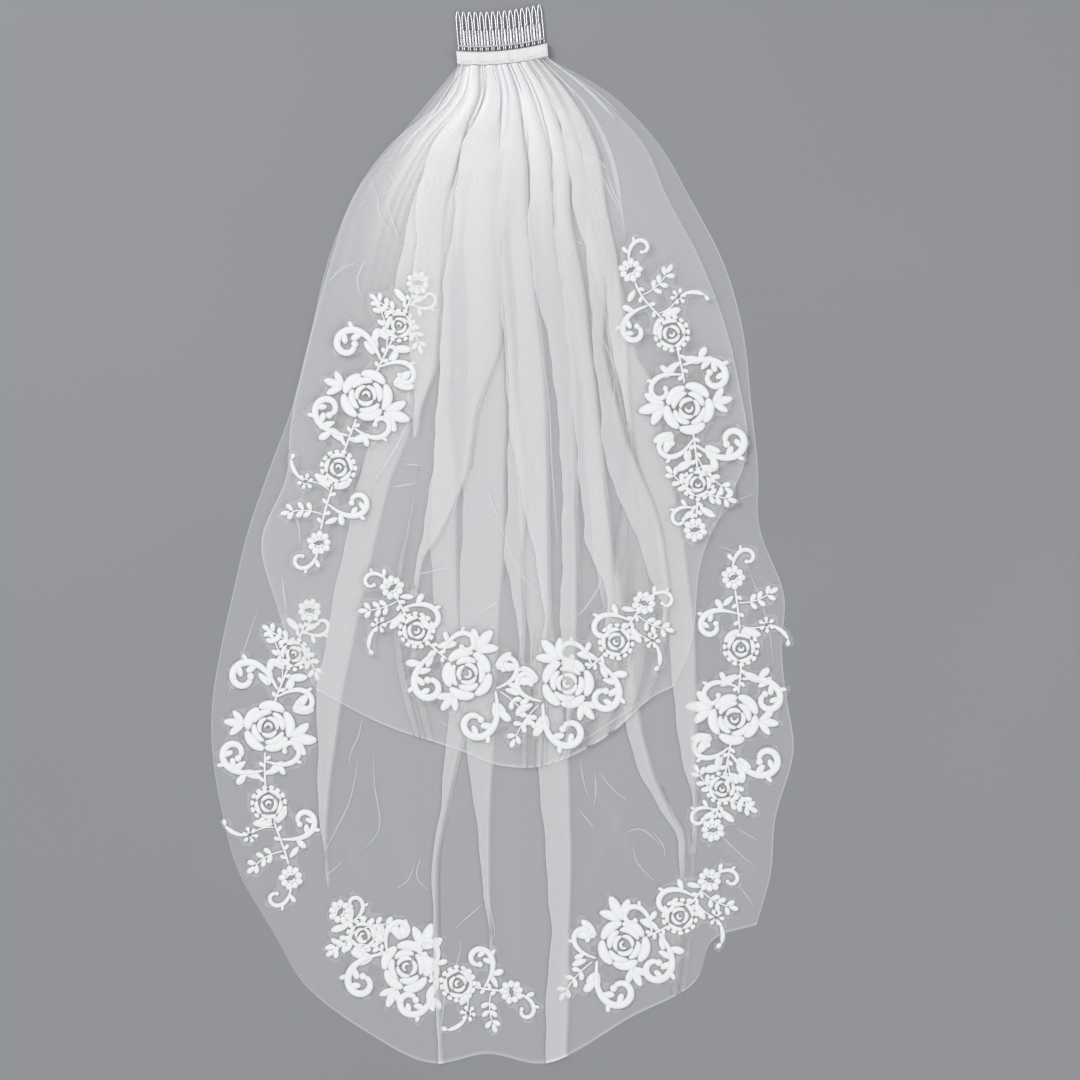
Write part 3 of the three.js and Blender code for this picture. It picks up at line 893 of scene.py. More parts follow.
def linked(name: str, mesh: bpy.types.Mesh) -> bpy.types.Object:
    """Puts a mesh in the scene as a piece at the origin."""
    piece = bpy.data.objects.new(name, mesh)
    bpy.context.scene.collection.objects.link(piece)
    return piece


def made_mesh(name: str, shaper: bmesh.types.BMesh) -> bpy.types.Mesh:
    """Turns what is being shaped into a mesh, and lets the shaper go."""
    mesh = bpy.data.meshes.new(name)
    shaper.to_mesh(mesh)
    shaper.free()
    return mesh


Profile = Callable[[Array], Array]


@lru_cache
def ball(stations: int, around: int) -> tuple[Array, list[list[int]]]:
    """A plain sphere to draw out into a body.

    Args:
        stations: Rings from pole to pole.
        around: Sides of each ring.

    Returns:
        Its points, and its faces as lists of point numbers.
    """
    shaper = bmesh.new()
    bmesh.ops.create_uvsphere(shaper, u_segments=around, v_segments=stations, radius=1.0)
    shaper.verts.index_update()
    points = np.array([vert.co for vert in shaper.verts])
    faces = [[vert.index for vert in face.verts] for face in shaper.faces]
    shaper.free()
    return points, faces


class Workbench:
    """Gathers swept bodies and flat nets into one mesh."""

    def __init__(self) -> None:
        """Starts with nothing on the bench."""
        self.points: list[Array] = []
        self.cloth: list[Array] = []
        self.rim: list[Array] = []
        self.faces: list[list[int]] = []
        self.finish: list[int] = []
        self.count = 0

    def add(self, points: Array, cloth: Array, rim: Array, faces: list[list[int]], finish: int = 0) -> None:
        """Adds points and faces.

        Args:
            points: Places in millimetres.
            cloth: The cloth's own coordinates, in millimetres.
            rim: How near each point is to the foot of its body, from 0 to 1; the lace's finish paints shade
                by it.
            faces: Point numbers of each face, counted from the first of these points.
            finish: The number of their finish.
        """
        self.faces.extend([number + self.count for number in face] for face in faces)
        self.finish.extend([finish] * len(faces))
        self.points.append(points)
        self.cloth.append(cloth)
        self.rim.append(rim)
        self.count += len(points)

    def sweep(self, path: Array, half_width: Profile, height: Profile, base: float,
              stations: int, around: int = 8, under: float = 0.12, vein: float = 0.0) -> None:
        """Adds a closed body: a sphere drawn out along a path in the plane.

        Args:
            path: Places along it, in millimetres.
            half_width: Half its width by share of the path.
            height: Its height over the base by share of the path.
            base: The level it lies on.
            stations: Rings along it.
            around: Sides of its section.
            under: How far its underside hangs, as a share of its height.
            vein: How deep a groove runs along its middle, as a share of its height.
        """
        globe, faces = ball(stations, around)
        share = np.arccos(np.clip(-globe[:, 2], -1.0, 1.0)) / math.pi
        angle = np.arctan2(globe[:, 1], globe[:, 0])
        pole = np.hypot(globe[:, 0], globe[:, 1]) < 1e-4
        beside = np.where(pole, 0.0, np.cos(angle))
        above = np.where(pole, 0.0, np.sin(angle))
        steps = np.linalg.norm(np.diff(path, axis=0), axis=1)
        reach = np.concatenate([[0.0], np.cumsum(steps)])
        shares = reach / reach[-1]
        slope = np.gradient(path, axis=0)
        slope /= np.linalg.norm(slope, axis=1)[:, None]
        centre = np.stack([np.interp(share, shares, path[:, axis]) for axis in range(2)], axis=1)
        ahead = np.stack([np.interp(share, shares, slope[:, axis]) for axis in range(2)], axis=1)
        aside = np.stack([-ahead[:, 1], ahead[:, 0]], axis=1)
        half, top = half_width(share), height(share)
        groove = 1.0 - vein * np.exp(-((beside / 0.3) ** 2))
        level = np.where(above > 0.0, above * top * groove, above * top * under)
        plan = centre + aside * (beside * half)[:, None]
        cloth = np.column_stack([beside * half, share * reach[-1]])
        rim = np.where(above > 0.0, np.abs(beside), 1.0)
        self.add(np.column_stack([plan, base + level]), cloth, rim, faces)

    def piece(self, name: str) -> bpy.types.Object:
        """Turns what is on the bench into a piece."""
        mesh = bpy.data.meshes.new(name)
        mesh.from_pydata(np.vstack(self.points) * MM, [], self.faces)
        mesh.polygons.foreach_set("material_index", self.finish)
        dress(mesh, np.vstack(self.cloth), {"rim": np.concatenate(self.rim)})
        return linked(name, mesh)


def dress(mesh: bpy.types.Mesh, cloth: Array, numbers: dict[str, Array]) -> None:
    """Gives a mesh its cloth coordinates, the numbers that its finish reads, and smooth shading.

    Args:
        mesh: The mesh.
        cloth: The cloth's own coordinates of each point, in millimetres.
        numbers: Numbers to keep on the points, by name.
    """
    for key, value in numbers.items():
        store = mesh.attributes.new(key, "FLOAT", "POINT")
        store.data.foreach_set("value", np.ascontiguousarray(value))
    corner = np.zeros(len(mesh.loops), np.int32)
    mesh.loops.foreach_get("vertex_index", corner)
    layer = mesh.uv_layers.new(name="cloth")
    layer.data.foreach_set("uv", np.ascontiguousarray(cloth[corner]).ravel())
    mesh.shade_smooth()
    mesh.update()


def rounded(width: float, blunt: float = 0.5, fullness: float = 0.75) -> Profile:
    """A half-width that swells from a point to full width and rounds off at the far end.

    Args:
        width: The full width.
        blunt: The share of the length where it is widest.
        fullness: How slowly it swells, less for blunter ends.

    Returns:
        Half the width by share.
    """
    def profile(share: Array) -> Array:
        """Half the width at each share."""
        bent = np.where(share < blunt, share / blunt * 0.5, 0.5 + (share - blunt) / (1.0 - blunt) * 0.5)
        return 0.5 * width * np.sin(np.clip(bent, 0.0, 1.0) * math.pi) ** fullness
    return profile


def steady(width: float) -> Profile:
    """Half of a width that stays the same from end to end."""
    return lambda share: np.full_like(share, 0.5 * width)


@dataclass(frozen=True)
class Drops:
    """A rim of drops that point outward: root, length and width by the bloom's size, relief in mm."""

    root: float
    length: float
    width: float
    relief: float


@dataclass(frozen=True)
class Bows:
    """A round of bowed petals: angles in radians, radius and width by the bloom's size, relief in mm."""

    petals: int
    turn: float
    radius: float
    half_angle: float
    width: float
    relief: float


@dataclass(frozen=True)
class BloomPattern:
    """How a kind of bloom is worked: the drops of its rim, if any, and bowed petals from rim to heart."""

    rim: Drops | None
    bows: Sequence[Bows]


BLOOM_PATTERNS = {
    Motif.ROSE: BloomPattern(None, (
        Bows(5, 0.0, 0.39, 0.68, 0.21, 1.1),
        Bows(4, 0.7, 0.27, 0.82, 0.15, 1.5),
        Bows(3, 1.4, 0.16, 1.15, 0.11, 1.8),
        Bows(1, 0.0, 0.06, 2.20, 0.075, 2.0),
    )),
    Motif.FLOWER: BloomPattern(Drops(0.36, 0.15, 0.19, 1.1), (
        Bows(5, 0.4, 0.34, 0.68, 0.15, 1.5),
        Bows(3, 0.0, 0.19, 1.15, 0.13, 1.7),
        Bows(1, 0.0, 0.06, 2.20, 0.10, 1.9),
    )),
    Motif.BLOSSOM: BloomPattern(Drops(0.14, 0.37, 0.30, 1.2), (
        Bows(2, 0.3, 0.15, 1.35, 0.13, 1.7),
    )),
}


@dataclass(frozen=True)
class Bloom:
    """A bloom by the stem: where it sits, its size in millimetres and how many drops are on its rim."""

    motif: Motif
    along: float
    aside: float
    size: float
    drops: int = 0


@dataclass(frozen=True)
class Scroll:
    """A curling scroll: where it leaves the stem, its turn in degrees, size in mm and way of curling."""

    along: float
    turn: float
    size: float
    curl: int


@dataclass(frozen=True)
class Fan:
    """Leaves from one root: along the stem, turn in degrees, the root's reach, leaf length, leaves."""

    along: float
    turn: float
    reach: float
    size: float
    leaves: int


@dataclass(frozen=True)
class Sprig:
    """A fine stem with paired drops: where it leaves, its turn, its length in mm and its bend."""

    along: float
    turn: float
    size: float
    bend: float


@dataclass(frozen=True)
class Layout:
    """The motifs of one kind of spray, with turns measured towards the edge of the tier."""

    blooms: Sequence[Bloom]
    scrolls: Sequence[Scroll]
    fans: Sequence[Fan]
    sprigs: Sequence[Sprig]


LAYOUTS = {
    SprayLength.LONG: Layout(
        blooms=(
            Bloom(Motif.BLOSSOM, 0.07, 0, 23, 9),
            Bloom(Motif.FLOWER, 0.32, 0, 34, 15),
            Bloom(Motif.ROSE, 0.57, 0, 50),
            Bloom(Motif.FLOWER, 0.82, 0, 31, 14),
            Bloom(Motif.BLOSSOM, 0.97, 0, 23, 9),
            Bloom(Motif.BLOSSOM, 0.24, 25, 16, 6),
        ),
        scrolls=(
            Scroll(0.05, 165, 25, -1),
            Scroll(0.20, -112, 38, 1),
            Scroll(0.43, 100, 45, -1),
            Scroll(0.46, -105, 34, 1),
            Scroll(0.67, -42, 34, -1),
            Scroll(0.69, 48, 49, 1),
            Scroll(0.90, -95, 24, 1),
        ),
        fans=(
            Fan(0.13, -60, 2, 14, 1),
            Fan(0.25, 62, 1, 20, 1),
            Fan(0.25, -58, 1, 18, 1),
            Fan(0.40, 62, 2, 20, 1),
            Fan(0.41, -58, 2, 20, 1),
            Fan(0.50, 128, 20, 17, 1),
            Fan(0.56, 86, 21, 20, 3),
            Fan(0.55, -92, 20, 26, 3),
            Fan(0.60, -58, 20, 23, 2),
            Fan(0.64, 30, 18, 17, 2),
            Fan(0.65, -20, 15, 15, 1),
            Fan(0.74, -72, 2, 20, 1),
            Fan(0.76, 70, 2, 17, 1),
            Fan(0.89, 58, 2, 18, 1),
            Fan(0.90, -50, 2, 14, 1),
        ),
        sprigs=(
            Sprig(0.16, 78, 30, 40),
            Sprig(0.72, 14, 40, 38),
            Sprig(0.85, -110, 28, -30),
            Sprig(0.86, 100, 26, -25),
        ),
    ),
    SprayLength.SHORT: Layout(
        blooms=(
            Bloom(Motif.BLOSSOM, 0.06, 0, 23, 9),
            Bloom(Motif.FLOWER, 0.34, 0, 34, 15),
            Bloom(Motif.ROSE, 0.72, 0, 50),
            Bloom(Motif.BLOSSOM, 0.20, 26, 16, 6),
        ),
        scrolls=(
            Scroll(0.04, 165, 23, -1),
            Scroll(0.19, -80, 36, 1),
            Scroll(0.50, 100, 48, -1),
            Scroll(0.54, -105, 33, 1),
            Scroll(0.90, -48, 32, -1),
            Scroll(0.90, 55, 52, 1),
        ),
        fans=(
            Fan(0.12, -70, 2, 14, 1),
            Fan(0.21, 62, 2, 19, 1),
            Fan(0.47, 58, 2, 18, 1),
            Fan(0.48, -58, 2, 20, 1),
            Fan(0.62, 128, 19, 16, 1),
            Fan(0.71, 86, 21, 20, 3),
            Fan(0.69, -92, 20, 26, 3),
            Fan(0.77, -58, 20, 23, 2),
            Fan(0.83, 34, 18, 17, 2),
            Fan(0.86, -14, 14, 16, 1),
        ),
        sprigs=(
            Sprig(0.14, 82, 28, 30),
            Sprig(0.92, 5, 38, 25),
        ),
    ),
}


@dataclass
class LaceSpray:
    """One spray of corded lace, worked along a stem that follows its panel."""

    name: str
    panel: Panel
    underside: float
    side: int
    length: SprayLength
    stem: Sequence[tuple[float, float]]
    wall: float = 1.0
    clearance: float = 0.3
    stem_width: float = 2.4
    fine_cord: float = 1.7
    leaf_height: float = 2.4
    scroll_width: float = 7.6
    open_scroll: float = 37.0
    tail_length: float = 26.0
    tail_width: float = 5.0
    leaf_share: float = 0.44
    bud: tuple[float, float] = (9.5, 5.8)
    ground_margin: float = 4.8
    ground_step: float = 2.2
    bench: Workbench = field(default_factory=Workbench)

    def __post_init__(self) -> None:
        """Runs the stem over the panel's points and finds the level of the lace."""
        shares = np.array(self.stem, float)
        self.run = SmoothRun(self.panel.at(shares[:, 0], shares[:, 1]))
        self.level = self.underside + self.wall + self.clearance

    def _bearing(self, along: float, turn: float) -> float:
        """The direction of something that leaves the stem at a turn in degrees."""
        return self.run.heading(along) + self.side * math.radians(turn)

    @staticmethod
    def _ray(root: Array, bearing: float, length: float, bend: float = 0.0) -> Array:
        """Places along a line that may bend evenly.

        Args:
            root: Where it starts.
            bearing: Its first direction.
            length: Its length.
            bend: How far it turns by its end, in radians.

        Returns:
            The places.
        """
        count = 14
        angles = bearing + bend * (np.arange(count - 1) + 0.5) / (count - 1)
        steps = np.column_stack([np.cos(angles), np.sin(angles)]) * (length / (count - 1))
        return np.vstack([root, root + np.cumsum(steps, axis=0)])

    def _stem(self, blooms: Sequence[Bloom]) -> None:
        """Lays the stem from the rim of one bloom to the next, with small buds on either side."""
        stops = [(bloom.along, 0.42 * bloom.size / self.run.length) for bloom in blooms if bloom.aside == 0]
        for (before, rim), (after, next_rim) in zip(stops, stops[1:]):
            shares = np.linspace(before + rim, max(after - next_rim, before + rim + 0.01), 24)
            path = self.run.at(shares)
            self.bench.sweep(path, steady(self.stem_width), steady(2.0), self.level, 12)
            for index, lean in ((4, 0.9), (8, -0.9), (13, 0.9), (17, -0.9)):
                self._drop(path[index], self.run.heading(shares[index]) + lean, 7.0, 4.6)

    def _fan(self, fan: Fan) -> None:
        """Lays plump veined leaves that spread from one root."""
        bearing = self._bearing(fan.along, fan.turn)
        root = self.run.at(fan.along) + fan.reach * np.array([math.cos(bearing), math.sin(bearing)])
        for index in range(fan.leaves):
            lean = 0.62 * (index - (fan.leaves - 1) / 2.0)
            size = fan.size * (1.0 - 0.22 * abs(lean))
            path = self._ray(root, bearing + lean, size, 0.4 * lean + 0.2 * self.side)
            leaf = rounded(self.leaf_share * size, 0.56)
            self.bench.sweep(path, leaf, steady(self.leaf_height), self.level, 8, vein=0.55)

    def _drop(self, root: Array, bearing: float, size: float, width: float, relief: float = 1.1) -> None:
        """Lays a plump drop, as for a bud or a petal."""
        path = self._ray(root, bearing, size)
        self.bench.sweep(path, rounded(width, 0.6), steady(2.0 * relief), self.level, 6)

    def _bows(self, centre: Array, size: float, heading: float, bows: Bows) -> None:
        """Lays bowed petals round a centre, every other one a little nearer to it.

        Args:
            centre: The bloom's centre.
            size: The bloom's size.
            heading: The direction of the stem.
            bows: The round of petals.
        """
        petal_shape = rounded(bows.width * size, 0.5, 0.5)
        for petal in range(bows.petals):
            middle = heading + bows.turn + 2.0 * math.pi * petal / bows.petals
            arc = middle + np.linspace(-bows.half_angle, bows.half_angle, 16)
            radius = bows.radius * size * (1.0 - 0.06 * (petal % 2))
            path = centre + radius * np.column_stack([np.cos(arc), np.sin(arc)])
            self.bench.sweep(path, petal_shape, steady(2.0 * bows.relief), self.level, 10)

    def _bloom(self, centre: Array, bloom: Bloom) -> None:
        """Works a bloom by its pattern: the drops of its rim, then its bowed petals."""
        pattern, size = BLOOM_PATTERNS[bloom.motif], bloom.size
        heading = self.run.heading(bloom.along)
        for drop in range(bloom.drops):
            rim = pattern.rim
            bearing = heading + 2.0 * math.pi * drop / bloom.drops
            root = centre + rim.root * size * np.array([math.cos(bearing), math.sin(bearing)])
            length = rim.length * size * (1.0 - 0.1 * (drop % 2))
            self._drop(root, bearing, length, rim.width * size, rim.relief)
        for bows in pattern.bows:
            self._bows(centre, size, heading, bows)

    def _scroll(self, scroll: Scroll) -> None:
        """Works a scroll that curls tightly to a round tip, with buds on its back and inside its curl."""
        root = self.run.at(scroll.along)
        count = 40
        shares = (np.arange(count - 1) + 0.5) / (count - 1)
        curl = self.side * scroll.curl
        total = min(5.9, 3.6 + scroll.size / 20.0)
        angles = self._bearing(scroll.along, scroll.turn) + curl * total * shares ** 2.2
        steps = np.column_stack([np.cos(angles), np.sin(angles)]) * (1.75 * scroll.size / (count - 1))
        path = np.vstack([root, root + np.cumsum(steps, axis=0)])
        width = self.scroll_width * min(1.0, 0.2 + scroll.size / 60.0)

        def swell(share: Array) -> Array:
            """Half the scroll's width, least at its root."""
            return 0.5 * width * (0.42 + 0.58 * smooth(share, 0.0, 0.45) - 0.2 * smooth(share, 0.75, 1.0))

        self.bench.sweep(path, swell, steady(2.8), self.level, 28)
        tip = path[-1] - 0.5 * width * np.array([math.cos(angles[-1]), math.sin(angles[-1])])
        self._drop(tip, angles[-1], 1.1 * width, 1.05 * width, 1.5)
        buds = [(0.2, -0.9, 0.26), (0.46, -1.0, 0.13)]
        if scroll.size > self.open_scroll:
            buds += [(0.36, 1.0, 0.2), (0.56, 1.1, 0.18)]
        for share, lean, size in buds:
            index = int(share * count)
            length = 3.0 + size * scroll.size
            self._drop(path[index], angles[index] + curl * lean, length, 0.55 * length, 1.1)

    def _sprig(self, sprig: Sprig) -> None:
        """Works a fine curved stem with paired drops and one at its end."""
        root = self.run.at(sprig.along)
        bend = self.side * math.radians(sprig.bend)
        path = self._ray(root, self._bearing(sprig.along, sprig.turn), sprig.size, bend)
        self.bench.sweep(path, steady(self.fine_cord), steady(self.fine_cord), self.level, 12)
        size, width = self.bud
        ahead = math.atan2(*(path[-1] - path[-2])[::-1])
        self._drop(path[-1], ahead, 1.1 * size, width)
        for index in (5, 8, 12):
            here = math.atan2(*(path[index] - path[index - 1])[::-1])
            for lean in (-0.95, 0.8):
                self._drop(path[index], here + lean, size, width)

    def _tail(self, root: Array, bearing: float) -> None:
        """Works a tail that leaves a side blossom for the edge and bends on along the stem."""
        path = self._ray(root, bearing, self.tail_length, -1.1 * self.side)
        self.bench.sweep(path, rounded(self.tail_width, 0.7), steady(self.leaf_height), self.level, 10)
        self._drop(path[-2], bearing - 1.5 * self.side, 7.0, 5.2, 1.3)

    def _ground(self) -> None:
        """Lays the close net under the spray, trimmed a little way outside its motifs."""
        worked = np.vstack(self.bench.points)[:, :2]
        low = worked.min(axis=0) - self.ground_margin
        high = worked.max(axis=0) + self.ground_margin
        counts = np.maximum(2, ((high - low) / self.ground_step).astype(int))
        shaper = bmesh.new()
        bmesh.ops.create_grid(shaper, x_segments=int(counts[0]), y_segments=int(counts[1]), size=1.0)
        centre, half = (low + high) / 2.0, (high - low) / 2.0
        verts = list(shaper.verts)
        plan = centre + np.array([vert.co[:2] for vert in verts]) * half
        thin = worked[::4]
        nearest = np.concatenate([
            np.sqrt(((chunk[:, None, :] - thin[None]) ** 2).sum(axis=2)).min(axis=1)
            for chunk in np.array_split(plan, max(1, len(plan) // 600))
        ])
        ragged = 1.3 * np.sin(plan[:, 0] / 5.0) * np.sin(plan[:, 1] / 6.5)
        for vert, place in zip(verts, plan):
            vert.co = (*place, self.level - 0.12)
        far = [vert for vert, gap in zip(verts, nearest + ragged) if gap > self.ground_margin]
        bmesh.ops.delete(shaper, geom=far, context="VERTS")
        rim = [vert for vert in shaper.verts if vert.is_boundary]
        for _ in range(3):
            bmesh.ops.smooth_vert(shaper, verts=rim, factor=0.5, use_axis_x=True, use_axis_y=True)
        shaper.verts.index_update()
        points = np.array([vert.co for vert in shaper.verts])
        faces = [[vert.index for vert in face.verts] for face in shaper.faces]
        shaper.free()
        self.bench.add(points, points[:, :2], np.zeros(len(points)), faces, 1)

    def build(self, lace: bpy.types.Material, net: bpy.types.Material) -> bpy.types.Object:
        """Works the whole spray.

        Args:
            lace: The finish of the cord.
            net: The finish of the ground.

        Returns:
            The spray's piece.
        """
        layout = LAYOUTS[self.length]
        self._stem(layout.blooms)
        for fan in layout.fans:
            self._fan(fan)
        for sprig in layout.sprigs:
            self._sprig(sprig)
        for scroll in layout.scrolls:
            self._scroll(scroll)
        for bloom in layout.blooms:
            bearing = self._bearing(bloom.along, 60.0)
            stalk = self._ray(self.run.at(bloom.along), bearing, bloom.aside, 0.9 * self.side)
            if bloom.aside:
                self.bench.sweep(stalk, steady(self.fine_cord), steady(self.fine_cord), self.level, 8)
                self._tail(stalk[-1], self._bearing(bloom.along, 80.0))
            self._bloom(stalk[-1], bloom)
        self._ground()
        return fit_out(self.bench.piece(self.name + "_lace"), [lace, net], [self.name])


@dataclass
class RibbonBand:
    """The satin ribbon folded over the gathers, with its row of stitches."""

    place: CombPlace = COMB_PLACE
    corner: float = 2.6
    pucker: float = 0.5
    seam_depth: float = 0.8
    seam_half: float = 0.9
    seam_share: float = 0.2
    stitch_length: float = 2.3
    stitch_width: float = 1.2
    stitch_pitch: float = 3.4
    stitch_slant: float = 0.01

    def build(self, satin: bpy.types.Material) -> bpy.types.Object:
        """Makes the ribbon from a cube with rounded edges and soft puckers.

        Args:
            satin: The ribbon's finish.

        Returns:
            The band's piece.
        """
        shaper = bmesh.new()
        bmesh.ops.create_cube(shaper, size=1.0)
        length, depth, height = self.place.band_length, self.place.band_depth, self.place.band_height
        bmesh.ops.scale(shaper, vec=(length, depth, height), verts=shaper.verts)
        long_edges = [edge for edge in shaper.edges
                      if abs(edge.verts[0].co.x - edge.verts[1].co.x) > 1.0 and edge.verts[0].co.z > 0.0]
        bmesh.ops.bevel(shaper, geom=long_edges, offset=self.corner, offset_type="OFFSET", segments=5,
                        profile=0.5, affect="EDGES", material=-1)
        running = [edge for edge in shaper.edges if abs(edge.verts[0].co.x - edge.verts[1].co.x) > 1.0]
        bmesh.ops.subdivide_edges(shaper, edges=running, cuts=150, use_grid_fill=True)
        crossing = [edge for edge in shaper.edges
                    if abs(edge.verts[0].co.y - edge.verts[1].co.y) > 0.4 * depth]
        bmesh.ops.subdivide_edges(shaper, edges=crossing, cuts=7, use_grid_fill=True)
        layer = shaper.loops.layers.uv.new("cloth")
        for face in shaper.faces:
            face.smooth = True
            for loop in face.loops:
                loop[layer].uv = (loop.vert.co.x, loop.vert.co.y + loop.vert.co.z)
        for vert in shaper.verts:
            self._settle(vert, length, depth, height)
        piece = linked("ribbon_band", made_mesh("ribbon_band", shaper))
        return fit_out(piece, [satin], ["comb_band"])

    def _settle(self, vert: bmesh.types.BMVert, length: float, depth: float, height: float) -> None:
        """Puckers one point of the ribbon and puts it in its place.

        Args:
            vert: The point, about the middle of the plain bar.
            length: The bar's length.
            depth: The bar's depth.
            height: The bar's height.
        """
        x, y, z = vert.co
        up = smooth((z + height / 2.0) / height, 0.1, 0.9)
        ripple = math.sin(x / 2.3 + 1.3 * math.sin(x / 9.0)) * (0.6 + 0.4 * math.sin(x / 5.1))
        lower = 1.0 - (y + depth / 2.0) / depth
        seam = math.exp(-(((y + (0.5 - self.seam_share) * depth) / self.seam_half) ** 2))
        lift = self.pucker * ripple * (0.35 + 0.65 * lower) - self.seam_depth * seam
        end = smooth(abs(x), length / 2.0 - 2.0, length / 2.0)
        place = self.place.world(np.array([x, y + depth / 2.0 + 0.12 * ripple * lower]))
        vert.co = (place[0] * MM, place[1] * MM, (z + height / 2.0 + up * (lift - 0.5 * end)) * MM)

    def stitches(self, satin: bpy.types.Material) -> bpy.types.Object:
        """Sews a row of small stitches along the ribbon's lower edge.

        Args:
            satin: The thread's finish.

        Returns:
            The stitches' piece.
        """
        bench = Workbench()
        count = int((self.place.band_length - 4.0) / self.stitch_pitch)
        top = self.place.band_height - 0.55
        half = np.array([self.stitch_length / 2.0, self.stitch_slant * self.place.band_depth])
        for x in spaced(count, self.stitch_pitch):
            middle = np.array([x, self.seam_share * self.place.band_depth])
            ends = np.stack([middle - half, middle + half])
            bench.sweep(self.place.world(ends), rounded(self.stitch_width), steady(1.2), top, 6, 6, 0.5)
        return fit_out(bench.piece("ribbon_stitches"), [satin])


@dataclass
class WireComb:
    """The comb of bent wire: hairpin teeth, a bar under them, and a bar with loops over them."""

    place: CombPlace = COMB_PLACE
    wire: float = 1.2
    teeth: int = 15
    pitch: float = 5.2
    tooth_width: float = 3.4
    tooth_reach: float = 37.0
    tooth_level: float = 2.2
    loop_width: float = 3.2
    loop_reach: float = 21.7
    loop_wire: float = 0.9
    bar_reach: float = 5.0
    clearance: float = 0.3

    def _hairpin(self, bench: Workbench, wire: float, centre: float, width: float, foot: float, reach: float,
                 level: float) -> None:
        """Bends one hairpin of wire.

        Args:
            bench: Where it is added.
            wire: The wire's diameter.
            centre: Its middle along the comb.
            width: From leg to leg.
            foot: Where its legs start above the band.
            reach: Where its tip ends above the band.
            level: The height of the wire's middle.
        """
        half = width / 2.0
        legs = [(half, foot), (half, mix(foot, reach, 0.5)), (0.8 * half, mix(foot, reach, 0.85))]
        tip = [(0.0, reach - self.wire / 2.0)]
        points = np.array(legs + tip + [(-x, y) for x, y in reversed(legs)])
        points[:, 0] += centre
        points[:, 1] += self.place.band_depth
        path = SmoothRun(self.place.world(points)).at(np.linspace(0.0, 1.0, 90))
        bench.sweep(path, steady(wire), steady(wire), level, 60, 10, 1.0)

    def _bar(self, bench: Workbench, level: float, reach: float) -> None:
        """Adds a bar wire along the comb."""
        half = (self.pitch * (self.teeth - 1) + self.tooth_width) / 2.0 + self.wire
        y = self.place.band_depth + reach
        ends = np.column_stack([np.linspace(-half, half, 30), np.full(30, y)])
        bench.sweep(self.place.world(ends), steady(self.wire), steady(self.wire), level, 24, 10, 1.0)

    def build(self, steel: bpy.types.Material) -> bpy.types.Object:
        """Bends all the wires.

        Args:
            steel: The wire's finish.

        Returns:
            The comb's piece.
        """
        bench = Workbench()
        offset = self.wire + self.clearance
        for centre in spaced(self.teeth, self.pitch):
            self._hairpin(bench, self.wire, centre, self.tooth_width, self.clearance, self.tooth_reach,
                          self.tooth_level)
        for centre in spaced(self.teeth - 1, self.pitch):
            self._hairpin(bench, self.loop_wire, centre, self.loop_width, self.bar_reach, self.loop_reach,
                          self.tooth_level + offset)
        self._bar(bench, self.tooth_level - offset, self.bar_reach)
        self._bar(bench, self.tooth_level + offset, self.bar_reach)
        nodes = [f"comb_tooth_{index + 1:02d}" for index in range(self.teeth)]
        nodes += ["comb_bar_lower", "comb_bar_upper"]
        return fit_out(bench.piece("comb_wires"), [steel], nodes)


@dataclass
class Studio:
    """A pale floor, soft light from above, and a camera that looks straight down."""

    view_width: float = 0.961
    view_centre: tuple[float, float] = (0.0334, -0.0058)
    lens_mm: float = 85.0
    sensor_mm: float = 36.0
    floor_size: float = 9.0
    sky: Colour = (0.92, 0.95, 1.0)
    sky_strength: float = 0.48
    clear_bounces: int = 24

    def build(self) -> None:
        """Sets out the floor, lights, world and camera."""
        self._floor()
        self._light("key", (-1.5, 1.3, 2.1), 1.7, 45.0)
        self._light("fill", (1.7, -0.5, 1.9), 2.0, 18.0)
        self._light("far", (0.2, -2.2, 1.5), 1.8, 10.0)
        self._world()
        self._camera()

    def _floor(self) -> None:
        """Lays the floor under the veil."""
        shaper = bmesh.new()
        bmesh.ops.create_grid(shaper, x_segments=8, y_segments=8, size=self.floor_size / 2.0)
        floor = linked("floor", made_mesh("floor", shaper))
        floor.data.materials.append(FloorFinish().material("pale_floor"))

    def _light(self, name: str, place: tuple[float, float, float], size: float, power: float) -> None:
        """Hangs one soft square light that faces the middle of the veil.

        Args:
            name: Its name.
            place: Where it hangs.
            size: The length of its side.
            power: Its power.
        """
        lamp = bpy.data.lights.new(name, "AREA")
        lamp.size = size
        lamp.energy = power
        light = bpy.data.objects.new(name, lamp)
        light.location = place
        aim = -light.location
        light.rotation_euler = aim.to_track_quat("-Z", "Y").to_euler()
        bpy.context.scene.collection.objects.link(light)

    def _world(self) -> None:
        """Surrounds the scene with even pale light."""
        scene = bpy.context.scene
        scene.world = scene.world or bpy.data.worlds.new("studio")
        scene.world.use_nodes = True
        back = scene.world.node_tree.nodes["Background"]
        back.inputs["Color"].default_value = (*self.sky, 1.0)
        back.inputs["Strength"].default_value = self.sky_strength
        scene.view_settings.view_transform = "Standard"
        scene.cycles.transparent_max_bounces = self.clear_bounces

    def _camera(self) -> None:
        """Puts the camera over the veil, square to the floor."""
        lens = bpy.data.cameras.new("camera")
        lens.lens = self.lens_mm
        lens.sensor_width = self.sensor_mm
        camera = bpy.data.objects.new("camera", lens)
        height = self.view_width * self.lens_mm / self.sensor_mm
        camera.location = (*self.view_centre, height)
        bpy.context.scene.collection.objects.link(camera)
        bpy.context.scene.camera = camera


